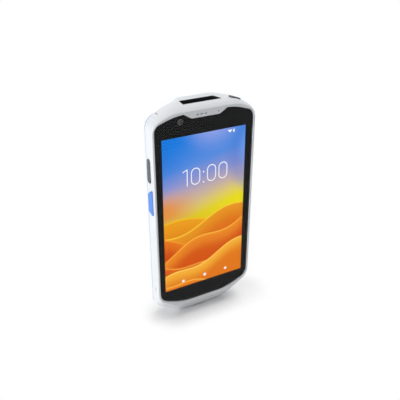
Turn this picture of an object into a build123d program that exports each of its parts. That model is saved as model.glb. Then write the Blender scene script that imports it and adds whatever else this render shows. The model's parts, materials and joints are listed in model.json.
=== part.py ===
from build123d import *
import math
import os

os.makedirs("parts", exist_ok=True)

# Handheld data terminal, in millimetres.
# It stands upright: +Z runs up its length, X is to the right seen from the display and Y runs
# from the display to the back. The origin is under the middle of the bottom end.

# ---------------------------------------------------------------- driving dimensions

BODY_LENGTH = 155.0
TOP_WIDTH = 75.5
BOTTOM_WIDTH = 73.2
BODY_DEPTH = 18.6

WALL = 2.0  # side and end walls of both housings
BACK_SKIN = 1.7
SEAL_WIDTH = 0.8  # elastomer line between the housings
LIP_HEIGHT = 0.7  # raised lip round the glass
LIP_INSET = 0.4

GLASS_THICKNESS = 1.0
GLASS_SINK = 0.4  # the glass lies this far behind the lip
GLASS_GAP = 0.1
GASKET_THICKNESS = 0.2
GASKET_SETBACK = 0.4
SHELF_THICKNESS = 2.0  # ledge of the bezel that carries the glass

DISPLAY_WIDTH = 62.26  # lit area, 5 inches across at 16:9
DISPLAY_HEIGHT = 110.69
DISPLAY_CHIN = 11.6  # lit area above the lower edge of the glass
PANEL_BORDER = 1.4
PANEL_THICKNESS = 1.8
PANEL_CLEARANCE = 0.2

KEY_CLEARANCE = 0.2
KEY_RISE = 0.5  # keys stand proud of the wall
KEY_TRAVEL = 0.4
KEY_SEAT = 1.5  # depth of the ledge that a key's tabs rest behind
KEY_BOARD_DEPTH = 3.3
KEY_BOARD_THICKNESS = 0.6

BATTERY_WIDTH = 51.0
BATTERY_LENGTH = 84.0
BATTERY_DEPTH = 6.7
BATTERY_LOW = 24.0
BATTERY_WALL = 1.2
BATTERY_GAP = 0.3
WELL_WALL = 1.2
WELL_TOP_WALL = 2.6
WELL_FLOOR = 1.0
WELL_FLOOR_GAP = 0.4
HINGE_RADIUS = 1.5

BOARD_THICKNESS = 1.0
FRAME_THICKNESS = 0.8

SCREW_SHANK = 0.8
SCREW_HEAD = 1.5
SCREW_HEAD_HEIGHT = 1.0
SCREW_SINK = 0.3
BOSS_RADIUS = 2.2

# ---------------------------------------------------------------- depths and heights

FRONT = -BODY_DEPTH / 2
BACK = BODY_DEPTH / 2
WAIST = FRONT + 9.9  # the sides fall away to the back from here
SEAM_SIDE = WAIST - SEAL_WIDTH
SEAM_LOW = SEAM_SIDE + 4.4  # the seam steps back round the connector
SEAM_HIGH = SEAM_SIDE + 6.4  # and round the scan window

GLASS_FRONT = FRONT + GLASS_SINK
GLASS_BACK = GLASS_FRONT + GLASS_THICKNESS
SHELF_FRONT = GLASS_BACK + GASKET_THICKNESS
SHELF_BACK = SHELF_FRONT + SHELF_THICKNESS
FRAME_BACK = SHELF_BACK + FRAME_THICKNESS
BOARD_FRONT = FRAME_BACK + 2.5
BOARD_BACK = BOARD_FRONT + BOARD_THICKNESS
SKIN_FRONT = BACK - BACK_SKIN

BATTERY_FRONT = BACK - BATTERY_DEPTH
WELL_FLOOR_BACK = BATTERY_FRONT - WELL_FLOOR_GAP
WELL_FLOOR_FRONT = WELL_FLOOR_BACK - WELL_FLOOR
BATTERY_HIGH = BATTERY_LOW + BATTERY_LENGTH
HINGE_Y = BACK - HINGE_RADIUS
HINGE_Z = BATTERY_LOW + HINGE_RADIUS

BEYOND = 20.0  # reach of a cut that goes right through

# ---------------------------------------------------------------- outlines seen from the front

LOW_SHOULDER_RUN = 20.6
LOW_SHOULDER_RISE = 11.5
HIGH_SHOULDER_RUN = 15.2
HIGH_SHOULDER_DROP = 8.1
LOW_BLEND = 0.6  # share of the end inset that the shoulder takes
HIGH_BLEND = 0.55
LOW_KNEE_RADIUS = 15.0
LOW_CORNER_RADIUS = 10.0
HIGH_CORNER_RADIUS = 8.7
HIGH_KNEE_RADIUS = 30.0

# Skin of the body from the front lip to the waist and on to the back face. Each station is a
# depth, then how far the sides, the top end and the bottom end lie inside the widest outline.
# A negative inset runs past the flat foot at Z = 0 and is trimmed there.
LIP_TOP_INSET = 4.7
LIP_LOW_INSET = 10.2
FRONT_STATIONS = [
    (FRONT + LIP_HEIGHT, 0.0, 3.9, 9.3),
    (FRONT + 2.3, 0.0, 2.5, 6.9),
    (FRONT + 4.3, 0.0, 1.55, 4.0),
    (FRONT + 6.3, 0.0, 1.2, 1.55),
    (FRONT + 7.9, 0.0, 1.0, 0.25),
    (WAIST, 0.0, 0.75, -0.35),
]
REAR_STATIONS = [
    (WAIST, 0.0, 0.75, -0.35),
    (BACK - 6.7, 1.6, 0.5, -0.45),
    (BACK - 4.7, 3.4, 0.2, -0.35),
    (BACK - 3.1, 5.0, 0.0, 0.5),
    (BACK - 1.7, 6.8, 0.35, 1.9),
    (BACK - 0.6, 8.7, 1.5, 3.9),
    (BACK, 10.4, 3.2, 5.8),
]


def front_plane(depth):
    """Plane across the device at a depth, facing the user: local x is X and local y is Z."""
    return Plane(origin=(0, depth, 0), x_dir=(1, 0, 0), z_dir=(0, -1, 0))


def insets_at(depth):
    """Side, top and bottom insets of the skin at any depth, between its stations."""
    stations = FRONT_STATIONS[:-1] + REAR_STATIONS
    if depth <= stations[0][0]:
        return stations[0][1:]
    for near, far in zip(stations, stations[1:]):
        if depth <= far[0]:
            share = (depth - near[0]) / (far[0] - near[0])
            return tuple(a + share * (b - a) for a, b in zip(near[1:], far[1:]))
    return stations[-1][1:]


def outline_points(side, top, low):
    """Corners of the eight-sided outline, its edges moved inwards by the three insets."""
    low_slope = LOW_SHOULDER_RISE / LOW_SHOULDER_RUN
    high_slope = HIGH_SHOULDER_DROP / HIGH_SHOULDER_RUN
    low_lift = (side + (low - side) * LOW_BLEND) * math.hypot(1, low_slope)
    high_drop = (side + (top - side) * HIGH_BLEND) * math.hypot(1, high_slope)
    low_half = BOTTOM_WIDTH / 2 - side
    high_half = TOP_WIDTH / 2 - side
    low_knee = BOTTOM_WIDTH / 2 - LOW_SHOULDER_RUN + (low - low_lift) / low_slope
    high_knee = TOP_WIDTH / 2 - HIGH_SHOULDER_RUN + (top - high_drop) / high_slope
    low_corner = LOW_SHOULDER_RISE - side * low_slope + low_lift
    high_corner = BODY_LENGTH - HIGH_SHOULDER_DROP + side * high_slope - high_drop
    right = [
        (low_knee, low),
        (low_half, low_corner),
        (high_half, high_corner),
        (high_knee, BODY_LENGTH - top),
    ]
    return right + [(-x, z) for x, z in reversed(right)]


def outline(side, top, low):
    """Face of the outline with rounded corners, drawn on XY."""
    radii = [LOW_KNEE_RADIUS, LOW_CORNER_RADIUS, HIGH_CORNER_RADIUS, HIGH_KNEE_RADIUS]
    with BuildSketch() as face:
        with BuildLine():
            FilletPolyline(
                *outline_points(side, top, low),
                radius=radii + radii[::-1],
                close=True,
            )
        make_face()
    return face.sketch


def inner_outline(depth, clearance):
    """Outline of the space inside the walls at a depth, less a clearance."""
    return outline(*(inset + WALL + clearance for inset in insets_at(depth)))


def side_half(height):
    """Half the body's width at a height."""
    low_z = LOW_SHOULDER_RISE
    high_z = BODY_LENGTH - HIGH_SHOULDER_DROP
    share = (height - low_z) / (high_z - low_z)
    return (BOTTOM_WIDTH + share * (TOP_WIDTH - BOTTOM_WIDTH)) / 2


# ---------------------------------------------------------------- body, seam and hollow

with BuildPart() as body_front:
    for depth, *insets in FRONT_STATIONS:
        with BuildSketch(front_plane(depth)):
            add(outline(*insets))
    loft()

with BuildPart() as body_rear:
    for depth, *insets in REAR_STATIONS:
        with BuildSketch(front_plane(depth)):
            add(outline(*insets))
    loft()

with BuildPart() as body_lip:
    with BuildSketch(front_plane(FRONT)):
        add(outline(LIP_INSET, LIP_TOP_INSET, LIP_LOW_INSET))
    with BuildSketch(front_plane(FRONT + LIP_HEIGHT)):
        add(outline(*FRONT_STATIONS[0][1:]))
    loft(ruled=True)

with BuildPart() as body:
    add(body_front.part)
    add(body_rear.part)
    add(body_lip.part)
    with BuildSketch(Plane.XY):
        Rectangle(TOP_WIDTH + BEYOND, BODY_DEPTH + BEYOND)
    extrude(amount=BODY_LENGTH, mode=Mode.INTERSECT)

with BuildPart() as cavity_front:
    for depth in (SHELF_BACK, FRONT + 6.3, FRONT + 7.9, WAIST):
        with BuildSketch(front_plane(depth)):
            add(inner_outline(depth, 0))
    loft(ruled=True)

with BuildPart() as cavity_rear:
    for depth in (WAIST, BACK - 4.7, BACK - 3.1, SKIN_FRONT):
        with BuildSketch(front_plane(depth)):
            add(inner_outline(depth, 0))
    loft(ruled=True)

with BuildPart() as cavity:
    add(cavity_front.part)
    add(cavity_rear.part)


def ahead_of_seam(shift):
    """Everything in front of the parting line, moved back by a shift."""
    low, side, high = (depth + shift for depth in (SEAM_LOW, SEAM_SIDE, SEAM_HIGH))
    with BuildPart() as region:
        with BuildSketch(Plane.YZ):
            with BuildLine():
                Polyline(
                    (FRONT - BEYOND, -BEYOND),
                    (low, -BEYOND),
                    (low, 6.0),
                    (side, 15.0),
                    (side, BODY_LENGTH - 6.0),
                    (high, BODY_LENGTH - 2.0),
                    (high, BODY_LENGTH + BEYOND),
                    (FRONT - BEYOND, BODY_LENGTH + BEYOND),
                    close=True,
                )
            make_face()
        extrude(amount=TOP_WIDTH, both=True)
    return region.part


front_region = ahead_of_seam(0)
seal_region = ahead_of_seam(SEAL_WIDTH)

# ---------------------------------------------------------------- glass and display

NOTCH_HALF_LOW = 10.0
NOTCH_HALF_HIGH = 15.8
NOTCH_DEPTH = 3.4
NOTCH_RADIUS = 2.0

# Recess for the glass: it fills the front more squarely than the outline of the body does.
GLASS_SIDE_INSET = 1.5
GLASS_LOW = 12.3
GLASS_LOW_KNEE = 18.0
GLASS_LOW_RISE = 6.3
GLASS_LOW_KNEE_RADIUS = 43.0
GLASS_LOW_RADIUS = 7.8
GLASS_HIGH = BODY_LENGTH - 6.0
GLASS_HIGH_KNEE = 21.2
GLASS_HIGH_DROP = 5.0
GLASS_HIGH_KNEE_RADIUS = 44.0
GLASS_HIGH_RADIUS = 5.6
DISPLAY_Z = GLASS_LOW + DISPLAY_CHIN + DISPLAY_HEIGHT / 2
PANEL_WIDTH = DISPLAY_WIDTH + 2 * PANEL_BORDER
PANEL_HEIGHT = DISPLAY_HEIGHT + 2 * PANEL_BORDER

CAMERA_X = -17.6
CAMERA_Z = GLASS_HIGH - 4.9
CAMERA_BARREL = 2.3


def glass_outline(gap):
    """Face of the glass, moved in from its recess by a gap, with the notch for the earpiece."""
    run = (NOTCH_HALF_HIGH - NOTCH_HALF_LOW) / NOTCH_DEPTH
    low_corner = GLASS_LOW + GLASS_LOW_RISE
    high_corner = GLASS_HIGH - GLASS_HIGH_DROP
    right = [
        (GLASS_LOW_KNEE, GLASS_LOW),
        (side_half(low_corner) - GLASS_SIDE_INSET, low_corner),
        (side_half(high_corner) - GLASS_SIDE_INSET, high_corner),
        (GLASS_HIGH_KNEE, GLASS_HIGH),
    ]
    radii = [GLASS_LOW_KNEE_RADIUS, GLASS_LOW_RADIUS, GLASS_HIGH_RADIUS, GLASS_HIGH_KNEE_RADIUS]
    with BuildSketch() as face:
        with BuildLine():
            FilletPolyline(
                *right,
                *[(-x, z) for x, z in reversed(right)],
                radius=radii + radii[::-1],
                close=True,
            )
        make_face()
        if gap:
            offset(amount=-gap, mode=Mode.REPLACE)
        with BuildLine():
            Polyline(
                (NOTCH_HALF_LOW + gap, GLASS_HIGH - NOTCH_DEPTH - gap),
                (NOTCH_HALF_HIGH + gap + run * BEYOND, GLASS_HIGH + BEYOND - gap),
                (-NOTCH_HALF_HIGH - gap - run * BEYOND, GLASS_HIGH + BEYOND - gap),
                (-NOTCH_HALF_LOW - gap, GLASS_HIGH - NOTCH_DEPTH - gap),
                close=True,
            )
        make_face(mode=Mode.SUBTRACT)
        notch_corners = [
            corner
            for corner in face.vertices()
            if abs(corner.X) < NOTCH_HALF_HIGH + 1 and corner.Y > GLASS_HIGH - NOTCH_DEPTH - 1
        ]
        fillet(notch_corners, NOTCH_RADIUS)
    return face.sketch


with BuildPart() as touch_glass:
    with BuildSketch(front_plane(GLASS_FRONT)):
        add(glass_outline(GLASS_GAP))
    extrude(amount=-GLASS_THICKNESS)
    glass_rim = touch_glass.faces().sort_by(Axis.Y)[0].outer_wire().edges()
    chamfer(glass_rim, 0.15)
touch_glass.part.label = "touch_glass"
export_step(touch_glass.part, "parts/touch_glass.step")

with BuildPart() as glass_gasket:
    with BuildSketch(front_plane(GLASS_BACK)):
        add(glass_outline(GLASS_GAP + GASKET_SETBACK))
        with Locations((0, DISPLAY_Z)):
            Rectangle(
                PANEL_WIDTH + 2 * PANEL_CLEARANCE,
                PANEL_HEIGHT + 2 * PANEL_CLEARANCE,
                mode=Mode.SUBTRACT,
            )
        with Locations((CAMERA_X, CAMERA_Z)):
            Circle(CAMERA_BARREL + 0.6, mode=Mode.SUBTRACT)
    extrude(amount=-GASKET_THICKNESS)
glass_gasket.part.label = "glass_gasket"
export_step(glass_gasket.part, "parts/glass_gasket.step")

with BuildPart() as display_panel:
    with BuildSketch(front_plane(GLASS_BACK)):
        with Locations((0, DISPLAY_Z)):
            Rectangle(PANEL_WIDTH, PANEL_HEIGHT)
    extrude(amount=-PANEL_THICKNESS)
display_panel.part.label = "display_panel"
export_step(display_panel.part, "parts/display_panel.step")

# ---------------------------------------------------------------- places of what the body holds

WINDOW_X = -0.5
WINDOW_Y = FRONT + 8.3
WINDOW_LENGTH = 24.2
WINDOW_WIDTH = 5.6
WINDOW_SINK = 3.8  # the pane's outer face below the top of the body
PANE_THICKNESS = 1.2
PANE_LEDGE = 0.6
PANE_GAP = 0.1
WINDOW_BOSS = 2.3
PANE_TOP = BODY_LENGTH - WINDOW_SINK
WINDOW_BOSS_LOW = PANE_TOP - 2.3

RECEIVER_X = -3.0
RECEIVER_Z = GLASS_HIGH - 1.55
RECEIVER_SLOT = 2.1
RECEIVER_SLOT_HEIGHT = 0.7
RECEIVER_SLOT_PITCH = 2.9
RECEIVER_LENGTH = 12.0
RECEIVER_HEIGHT = 5.0
RECEIVER_FRONT = SHELF_BACK - 1.3
RECEIVER_CENTRE_Z = RECEIVER_Z - 1.4
MESH_THICKNESS = 0.2
TOP_MIC_X = 9.3

KEY_Y = FRONT + 5.35
SCAN_KEY_Z = BODY_LENGTH - 61.8
UPPER_KEY_Z = BODY_LENGTH - 40.8
KEY_REFERENCE_Z = (SCAN_KEY_Z + UPPER_KEY_Z) / 2
KEY_FACE_X = side_half(KEY_REFERENCE_Z)

CONNECTOR_WIDTH = 8.94
CONNECTOR_HEIGHT = 3.26
CONNECTOR_Y = BOARD_BACK + CONNECTOR_HEIGHT / 2
CONNECTOR_DEPTH = 7.3
CONNECTOR_SINK = 1.6
CONNECTOR_WALL = 0.3
RECESS_WIDTH = 12.4
RECESS_HEIGHT = 6.2
RECESS_SINK = 1.2

BOTTOM_MIC_X = -12.6
BOTTOM_MIC_Y = BOARD_BACK + 0.7

LOW_SCREWS = [(-20.0, 14.5), (20.0, 14.5)]  # into the bezel
HIGH_SCREWS = [(-23.0, BATTERY_HIGH + 9.0), (23.0, BATTERY_HIGH + 9.0)]  # into the inner frame
SCREW_PLACES = LOW_SCREWS + HIGH_SCREWS

REAR_CAMERA_X = 18.0
REAR_CAMERA_Z = BODY_LENGTH - 18.0
REAR_CAMERA_WINDOW = 4.6
FLASH_Z = REAR_CAMERA_Z - 10.5
FLASH_WINDOW = 2.2
SPEAKER_X = -15.0
SPEAKER_Z = BODY_LENGTH - 20.0
SPEAKER_WIDTH = 16.0
SPEAKER_HEIGHT = 19.0
SPEAKER_DEPTH = 4.0

# ---------------------------------------------------------------- key outlines and wall openings

SCAN_KEY_LONG = 19.0  # along its front edge
SCAN_KEY_SHORT = 12.4  # along its back edge
SCAN_KEY_WIDTH = 6.1
SCAN_KEY_LOW_SKEW = 2.0
SCAN_KEY_HIGH_SKEW = SCAN_KEY_LONG - SCAN_KEY_SHORT - SCAN_KEY_LOW_SKEW
SCAN_TAB_LENGTH = (SCAN_KEY_LONG + SCAN_KEY_SHORT) / 2
SCAN_TAB_Z = SCAN_KEY_Z + (SCAN_KEY_LOW_SKEW - SCAN_KEY_HIGH_SKEW) / 4
UPPER_KEY_LENGTH = 16.4
UPPER_KEY_WIDTH = 4.4
ROCKER_LENGTH = 16.4
TAB_REACH = 1.2
TAB_WIDTH = 3.0
TAB_THICKNESS = 0.55
TAB_SLACK = 0.05
STEM_RADIUS = 1.1
ROCKER_PIVOT_DEPTH = 2.6
ROCKER_PIVOT_RADIUS = 0.65
ROCKER_TAB_DEPTH = 2.0
DOME_RADIUS = 2.0
DOME_HEIGHT = 0.35


def scan_key_outline(grow):
    """Wedge-ended outline of a scan key on the YZ plane, longer at its front edge."""
    front_y = KEY_Y - SCAN_KEY_WIDTH / 2 - grow
    back_y = KEY_Y + SCAN_KEY_WIDTH / 2 + grow
    with BuildSketch() as face:
        with BuildLine():
            FilletPolyline(
                (front_y, SCAN_KEY_Z - SCAN_KEY_LONG / 2 - grow),
                (back_y, SCAN_KEY_Z - SCAN_KEY_LONG / 2 + SCAN_KEY_LOW_SKEW - grow),
                (back_y, SCAN_KEY_Z + SCAN_KEY_LONG / 2 - SCAN_KEY_HIGH_SKEW + grow),
                (front_y, SCAN_KEY_Z + SCAN_KEY_LONG / 2 + grow),
                radius=1.0 + grow,
                close=True,
            )
        make_face()
    return face.sketch


def slot_key_outline(length, grow):
    """Round-ended outline of an upper side key on the YZ plane."""
    with BuildSketch() as face:
        with Locations((KEY_Y + 0.9, UPPER_KEY_Z)):
            SlotOverall(length + 2 * grow, UPPER_KEY_WIDTH + 2 * grow, rotation=90)
    return face.sketch


def tab_outline(y, z, length, grow):
    """Rectangle of a key's two end tabs on the YZ plane."""
    with BuildSketch() as face:
        with Locations((y, z)):
            Rectangle(TAB_WIDTH + 2 * grow, length + 2 * TAB_REACH + 2 * grow)
    return face.sketch


def key_opening(side, cap, tabs):
    """Cut through a side wall for a key's cap and, behind the seat, for its tabs."""
    face_x = side * KEY_FACE_X
    with BuildPart() as opening:
        with BuildSketch(Plane.YZ.offset(face_x + side * 2)):
            add(cap)
        extrude(amount=-side * (2 + KEY_BOARD_DEPTH))
        with BuildSketch(Plane.YZ.offset(face_x - side * KEY_SEAT)):
            add(tabs)
        extrude(amount=-side * (6 - KEY_SEAT))
    return opening.part


UPPER_KEY_Y = KEY_Y + 0.9
scan_opening_tabs = tab_outline(KEY_Y, SCAN_TAB_Z, SCAN_TAB_LENGTH, KEY_CLEARANCE)
upper_opening_tabs = tab_outline(UPPER_KEY_Y, UPPER_KEY_Z, UPPER_KEY_LENGTH, KEY_CLEARANCE)
rocker_opening_tabs = tab_outline(UPPER_KEY_Y, UPPER_KEY_Z, ROCKER_LENGTH, KEY_CLEARANCE)

# Power key on the right shoulder: its plane meets the rounded skin at both ends of the key.
POWER_X = 25.0
POWER_LENGTH = 8.8
POWER_WIDTH = 3.6
POWER_Y = FRONT + 6.3
POWER_LIFT = 0.2  # the rounded skin bulges between the key's ends
shoulder_slope = math.atan2(HIGH_SHOULDER_DROP, HIGH_SHOULDER_RUN)


def shoulder_height(x):
    """Height of the widest outline over a place between the top end and the corner."""
    knee_x = TOP_WIDTH / 2 - HIGH_SHOULDER_RUN
    tangent = HIGH_KNEE_RADIUS * math.tan(shoulder_slope / 2)
    past_start = abs(x) - knee_x + tangent
    if past_start <= 0:
        return BODY_LENGTH
    if abs(x) < knee_x + tangent * math.cos(shoulder_slope):
        sagitta = HIGH_KNEE_RADIUS - math.sqrt(HIGH_KNEE_RADIUS**2 - past_start**2)
        return BODY_LENGTH - sagitta
    return BODY_LENGTH - (abs(x) - knee_x) * math.tan(shoulder_slope)


def shoulder_sink(depth):
    """How far the shoulder's skin at a depth lies below the widest outline."""
    return insets_at(depth)[1] * HIGH_BLEND / math.cos(shoulder_slope)


power_left_z = shoulder_height(POWER_X - POWER_LENGTH / 2)
power_right_z = shoulder_height(POWER_X + POWER_LENGTH / 2)
power_tilt = math.atan2(power_left_z - power_right_z, POWER_LENGTH)
power_z = (power_left_z + power_right_z) / 2 - shoulder_sink(POWER_Y) + POWER_LIFT
power_plane = Plane(
    origin=(POWER_X, POWER_Y, power_z),
    x_dir=(math.cos(power_tilt), 0, -math.sin(power_tilt)),
    z_dir=(math.sin(power_tilt), 0, math.cos(power_tilt)),
)

with BuildPart() as power_opening:
    with BuildSketch(power_plane.offset(2)):
        SlotOverall(POWER_LENGTH + 2 * KEY_CLEARANCE, POWER_WIDTH + 2 * KEY_CLEARANCE)
    extrude(amount=-6)
    with BuildSketch(power_plane.offset(-KEY_SEAT)):
        Rectangle(
            POWER_LENGTH + 2 * (TAB_REACH + KEY_CLEARANCE),
            TAB_WIDTH + 2 * KEY_CLEARANCE,
        )
    extrude(amount=-(6 - KEY_SEAT))

# Boards behind the keys, each resting on two ledges of the bezel.
KEY_BOARD_Y = KEY_Y + 0.9
KEY_BOARD_WIDTH = 5.0
KEY_LEDGE = 1.6
KEY_BOARD_LOW = SCAN_TAB_Z - SCAN_TAB_LENGTH / 2 - TAB_REACH - KEY_CLEARANCE - KEY_LEDGE - 0.2
KEY_BOARD_HIGH = UPPER_KEY_Z + UPPER_KEY_LENGTH / 2 + TAB_REACH + KEY_CLEARANCE + KEY_LEDGE + 0.2
POWER_LEDGE = 1.3
POWER_BOARD_WIDTH = 3.0
POWER_BOARD_LENGTH = POWER_LENGTH + 2 * (TAB_REACH + KEY_CLEARANCE + POWER_LEDGE + 0.1)

# Catch slots: two on the lower sides and two on the upper shoulders.
CATCH_Z = 26.7
CATCH_Y = FRONT + 4.3
CATCH_LENGTH = 3.4
CATCH_WIDTH = 1.0
CATCH_SINK = 0.6
SHOULDER_CATCH_X = 30.6
SHOULDER_CATCH_Y = FRONT + 7.2
shoulder_catch_z = shoulder_height(SHOULDER_CATCH_X) - shoulder_sink(SHOULDER_CATCH_Y)
shoulder_catch_planes = [
    Plane(
        origin=(side * SHOULDER_CATCH_X, SHOULDER_CATCH_Y, shoulder_catch_z),
        x_dir=(side * math.cos(shoulder_slope), 0, -math.sin(shoulder_slope)),
        z_dir=(side * math.sin(shoulder_slope), 0, math.cos(shoulder_slope)),
    )
    for side in (-1, 1)
]

# Mouth over the scan window, seen from above: its right end is slanted.
MOUTH_Z = BODY_LENGTH - 0.8
MOUTH_CORNERS = [
    (WINDOW_X - 13.4, WINDOW_Y - 3.5),
    (WINDOW_X + 16.6, WINDOW_Y - 3.5),
    (WINDOW_X + 11.8, WINDOW_Y + 2.75),
    (WINDOW_X - 12.7, WINDOW_Y + 2.75),
]
HOOD_GAP = 0.05
HOOD_WALL = 0.5
HOOD_SINK = 0.15  # the rim of the hood lies this far below the skin


def window_mouth(inset):
    """Funnel from the pane up through the crown, its walls moved in by an inset."""
    half_x = WINDOW_LENGTH / 2 - PANE_LEDGE
    half_y = WINDOW_WIDTH / 2 - PANE_LEDGE
    pane_corners = [
        (WINDOW_X - half_x, WINDOW_Y - half_y),
        (WINDOW_X + half_x, WINDOW_Y - half_y),
        (WINDOW_X + half_x, WINDOW_Y + half_y),
        (WINDOW_X - half_x, WINDOW_Y + half_y),
    ]
    sections = [(PANE_TOP, pane_corners), (MOUTH_Z, MOUTH_CORNERS), (MOUTH_Z + 2, MOUTH_CORNERS)]
    with BuildPart() as mouth:
        for height, corners in sections:
            with BuildSketch(Plane.XY.offset(height)):
                with BuildLine():
                    Polyline(
                        *[
                            (
                                x - math.copysign(inset, x - WINDOW_X),
                                y - math.copysign(inset, y - WINDOW_Y),
                            )
                            for x, y in corners
                        ],
                        close=True,
                    )
                make_face()
        loft(ruled=True)
    return mouth.part


# ---------------------------------------------------------------- front bezel

with BuildPart() as front_bezel:
    add(body.part)
    add(front_region, mode=Mode.INTERSECT)
    add(cavity.part, mode=Mode.SUBTRACT)
    # recess for the glass, then the opening that the display panel sits in
    with BuildSketch(front_plane(FRONT)):
        add(glass_outline(0))
    extrude(amount=FRONT - SHELF_FRONT, mode=Mode.SUBTRACT)
    with BuildSketch(front_plane(SHELF_FRONT)):
        with Locations((0, DISPLAY_Z)):
            Rectangle(PANEL_WIDTH + 2 * PANEL_CLEARANCE, PANEL_HEIGHT + 2 * PANEL_CLEARANCE)
        with Locations((CAMERA_X, CAMERA_Z)):
            Circle(CAMERA_BARREL + 0.3)
    extrude(amount=SHELF_FRONT - SHELF_BACK, mode=Mode.SUBTRACT)
    # frame under the scan window
    with BuildSketch(Plane.XY.offset(WINDOW_BOSS_LOW)):
        with Locations((WINDOW_X, (SHELF_BACK + WINDOW_Y + WINDOW_WIDTH / 2 + WINDOW_BOSS) / 2)):
            Rectangle(
                WINDOW_LENGTH + 2 * WINDOW_BOSS,
                WINDOW_Y + WINDOW_WIDTH / 2 + WINDOW_BOSS - SHELF_BACK,
            )
    extrude(amount=BODY_LENGTH - 1.6 - WINDOW_BOSS_LOW - 1.2)
    # screw bosses
    with BuildSketch(front_plane(SHELF_BACK)):
        with Locations(LOW_SCREWS):
            Circle(BOSS_RADIUS)
    extrude(amount=SHELF_BACK - SEAM_SIDE)
    with BuildSketch(front_plane(SEAM_SIDE)):
        with Locations(LOW_SCREWS):
            Circle(SCREW_SHANK + 0.05)
    extrude(amount=SEAM_SIDE - SHELF_BACK - 0.5, mode=Mode.SUBTRACT)
    # scan window mouth and the seat of its pane
    add(window_mouth(0), mode=Mode.SUBTRACT)
    with BuildSketch(Plane.XY.offset(WINDOW_BOSS_LOW - 1)):
        with Locations((WINDOW_X, WINDOW_Y)):
            Rectangle(
                WINDOW_LENGTH + 2 * PANE_GAP,
                WINDOW_WIDTH + 2 * PANE_GAP,
            )
    extrude(amount=PANE_TOP - WINDOW_BOSS_LOW + 1, mode=Mode.SUBTRACT)
    # earpiece slots, microphone hole and the chamber behind them
    with BuildSketch(front_plane(FRONT - 1)):
        with Locations((RECEIVER_X, RECEIVER_Z)):
            with GridLocations(RECEIVER_SLOT_PITCH, 1, 3, 1):
                SlotOverall(RECEIVER_SLOT, RECEIVER_SLOT_HEIGHT)
    extrude(amount=FRONT - 1 - RECEIVER_FRONT + MESH_THICKNESS, mode=Mode.SUBTRACT)
    with BuildSketch(front_plane(FRONT - 1)):
        with Locations((TOP_MIC_X, RECEIVER_Z)):
            Circle(0.4)
    extrude(amount=FRONT - 1 - SHELF_BACK, mode=Mode.SUBTRACT)
    with BuildSketch(front_plane(SHELF_BACK)):
        with Locations((RECEIVER_X, RECEIVER_CENTRE_Z)):
            Rectangle(RECEIVER_LENGTH + 0.2, RECEIVER_HEIGHT + 0.2)
    extrude(amount=SHELF_BACK - RECEIVER_FRONT + MESH_THICKNESS, mode=Mode.SUBTRACT)
    # keys
    for side in (-1, 1):
        scan_cap = scan_key_outline(KEY_CLEARANCE)
        add(key_opening(side, scan_cap, scan_opening_tabs), mode=Mode.SUBTRACT)
    upper_cap = slot_key_outline(UPPER_KEY_LENGTH, KEY_CLEARANCE)
    add(key_opening(-1, upper_cap, upper_opening_tabs), mode=Mode.SUBTRACT)
    rocker_cap = slot_key_outline(ROCKER_LENGTH, KEY_CLEARANCE)
    add(key_opening(1, rocker_cap, rocker_opening_tabs), mode=Mode.SUBTRACT)
    add(power_opening.part, mode=Mode.SUBTRACT)
    # ledges that carry the side key boards and the power switch
    for side in (-1, 1):
        with BuildSketch(Plane.YZ.offset(side * (KEY_FACE_X - WALL / 2))):
            with Locations(
                (KEY_BOARD_Y, KEY_BOARD_LOW + KEY_LEDGE / 2),
                (KEY_BOARD_Y, KEY_BOARD_HIGH - KEY_LEDGE / 2),
            ):
                Rectangle(KEY_BOARD_WIDTH, KEY_LEDGE)
        extrude(amount=-side * (KEY_BOARD_DEPTH - WALL / 2))
    with BuildSketch(power_plane.offset(-WALL / 2)):
        with GridLocations(POWER_BOARD_LENGTH - POWER_LEDGE, 1, 2, 1):
            Rectangle(POWER_LEDGE, POWER_BOARD_WIDTH)
    extrude(amount=-(KEY_BOARD_DEPTH - WALL / 2))
    with BuildSketch(power_plane.offset(-KEY_BOARD_DEPTH)):
        Rectangle(POWER_BOARD_LENGTH + 0.2, POWER_BOARD_WIDTH + 0.2)
    extrude(amount=-2, mode=Mode.SUBTRACT)
    # slots on the outside that hold an accessory such as a boot or a hand strap
    for side in (-1, 1):
        with BuildSketch(Plane.YZ.offset(side * (side_half(CATCH_Z) + 1))):
            with Locations((CATCH_Y, CATCH_Z)):
                SlotOverall(CATCH_LENGTH, CATCH_WIDTH, rotation=90)
        extrude(amount=-side * (1 + CATCH_SINK), mode=Mode.SUBTRACT)
    for catch_plane in shoulder_catch_planes:
        with BuildSketch(catch_plane.offset(1)):
            SlotOverall(CATCH_LENGTH, CATCH_WIDTH, rotation=90)
        extrude(amount=-(1 + CATCH_SINK), mode=Mode.SUBTRACT)
    # microphone hole beside the connector
    with BuildSketch(Plane.XY):
        with Locations((BOTTOM_MIC_X, BOTTOM_MIC_Y)):
            Circle(0.5)
    extrude(amount=WALL + 2, mode=Mode.SUBTRACT)
    # connector mouth in the foot, with a shallow recess round it
    with BuildSketch(Plane.XY.offset(-1)):
        with Locations((0, CONNECTOR_Y)):
            SlotOverall(RECESS_WIDTH, RECESS_HEIGHT)
    extrude(amount=1 + RECESS_SINK, mode=Mode.SUBTRACT)
    with BuildSketch(Plane.XY):
        with Locations((0, CONNECTOR_Y)):
            SlotOverall(CONNECTOR_WIDTH + 0.3, CONNECTOR_HEIGHT + 0.3)
    extrude(amount=CONNECTOR_SINK + 3, mode=Mode.SUBTRACT)
front_bezel.part.label = "front_bezel"
export_step(front_bezel.part, "parts/front_bezel.step")

with BuildPart() as housing_seal:
    add(body.part)
    add(seal_region, mode=Mode.INTERSECT)
    add(front_region, mode=Mode.SUBTRACT)
    add(cavity.part, mode=Mode.SUBTRACT)
housing_seal.part.label = "housing_seal"
export_step(housing_seal.part, "parts/housing_seal.step")

# ---------------------------------------------------------------- rear housing

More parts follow.
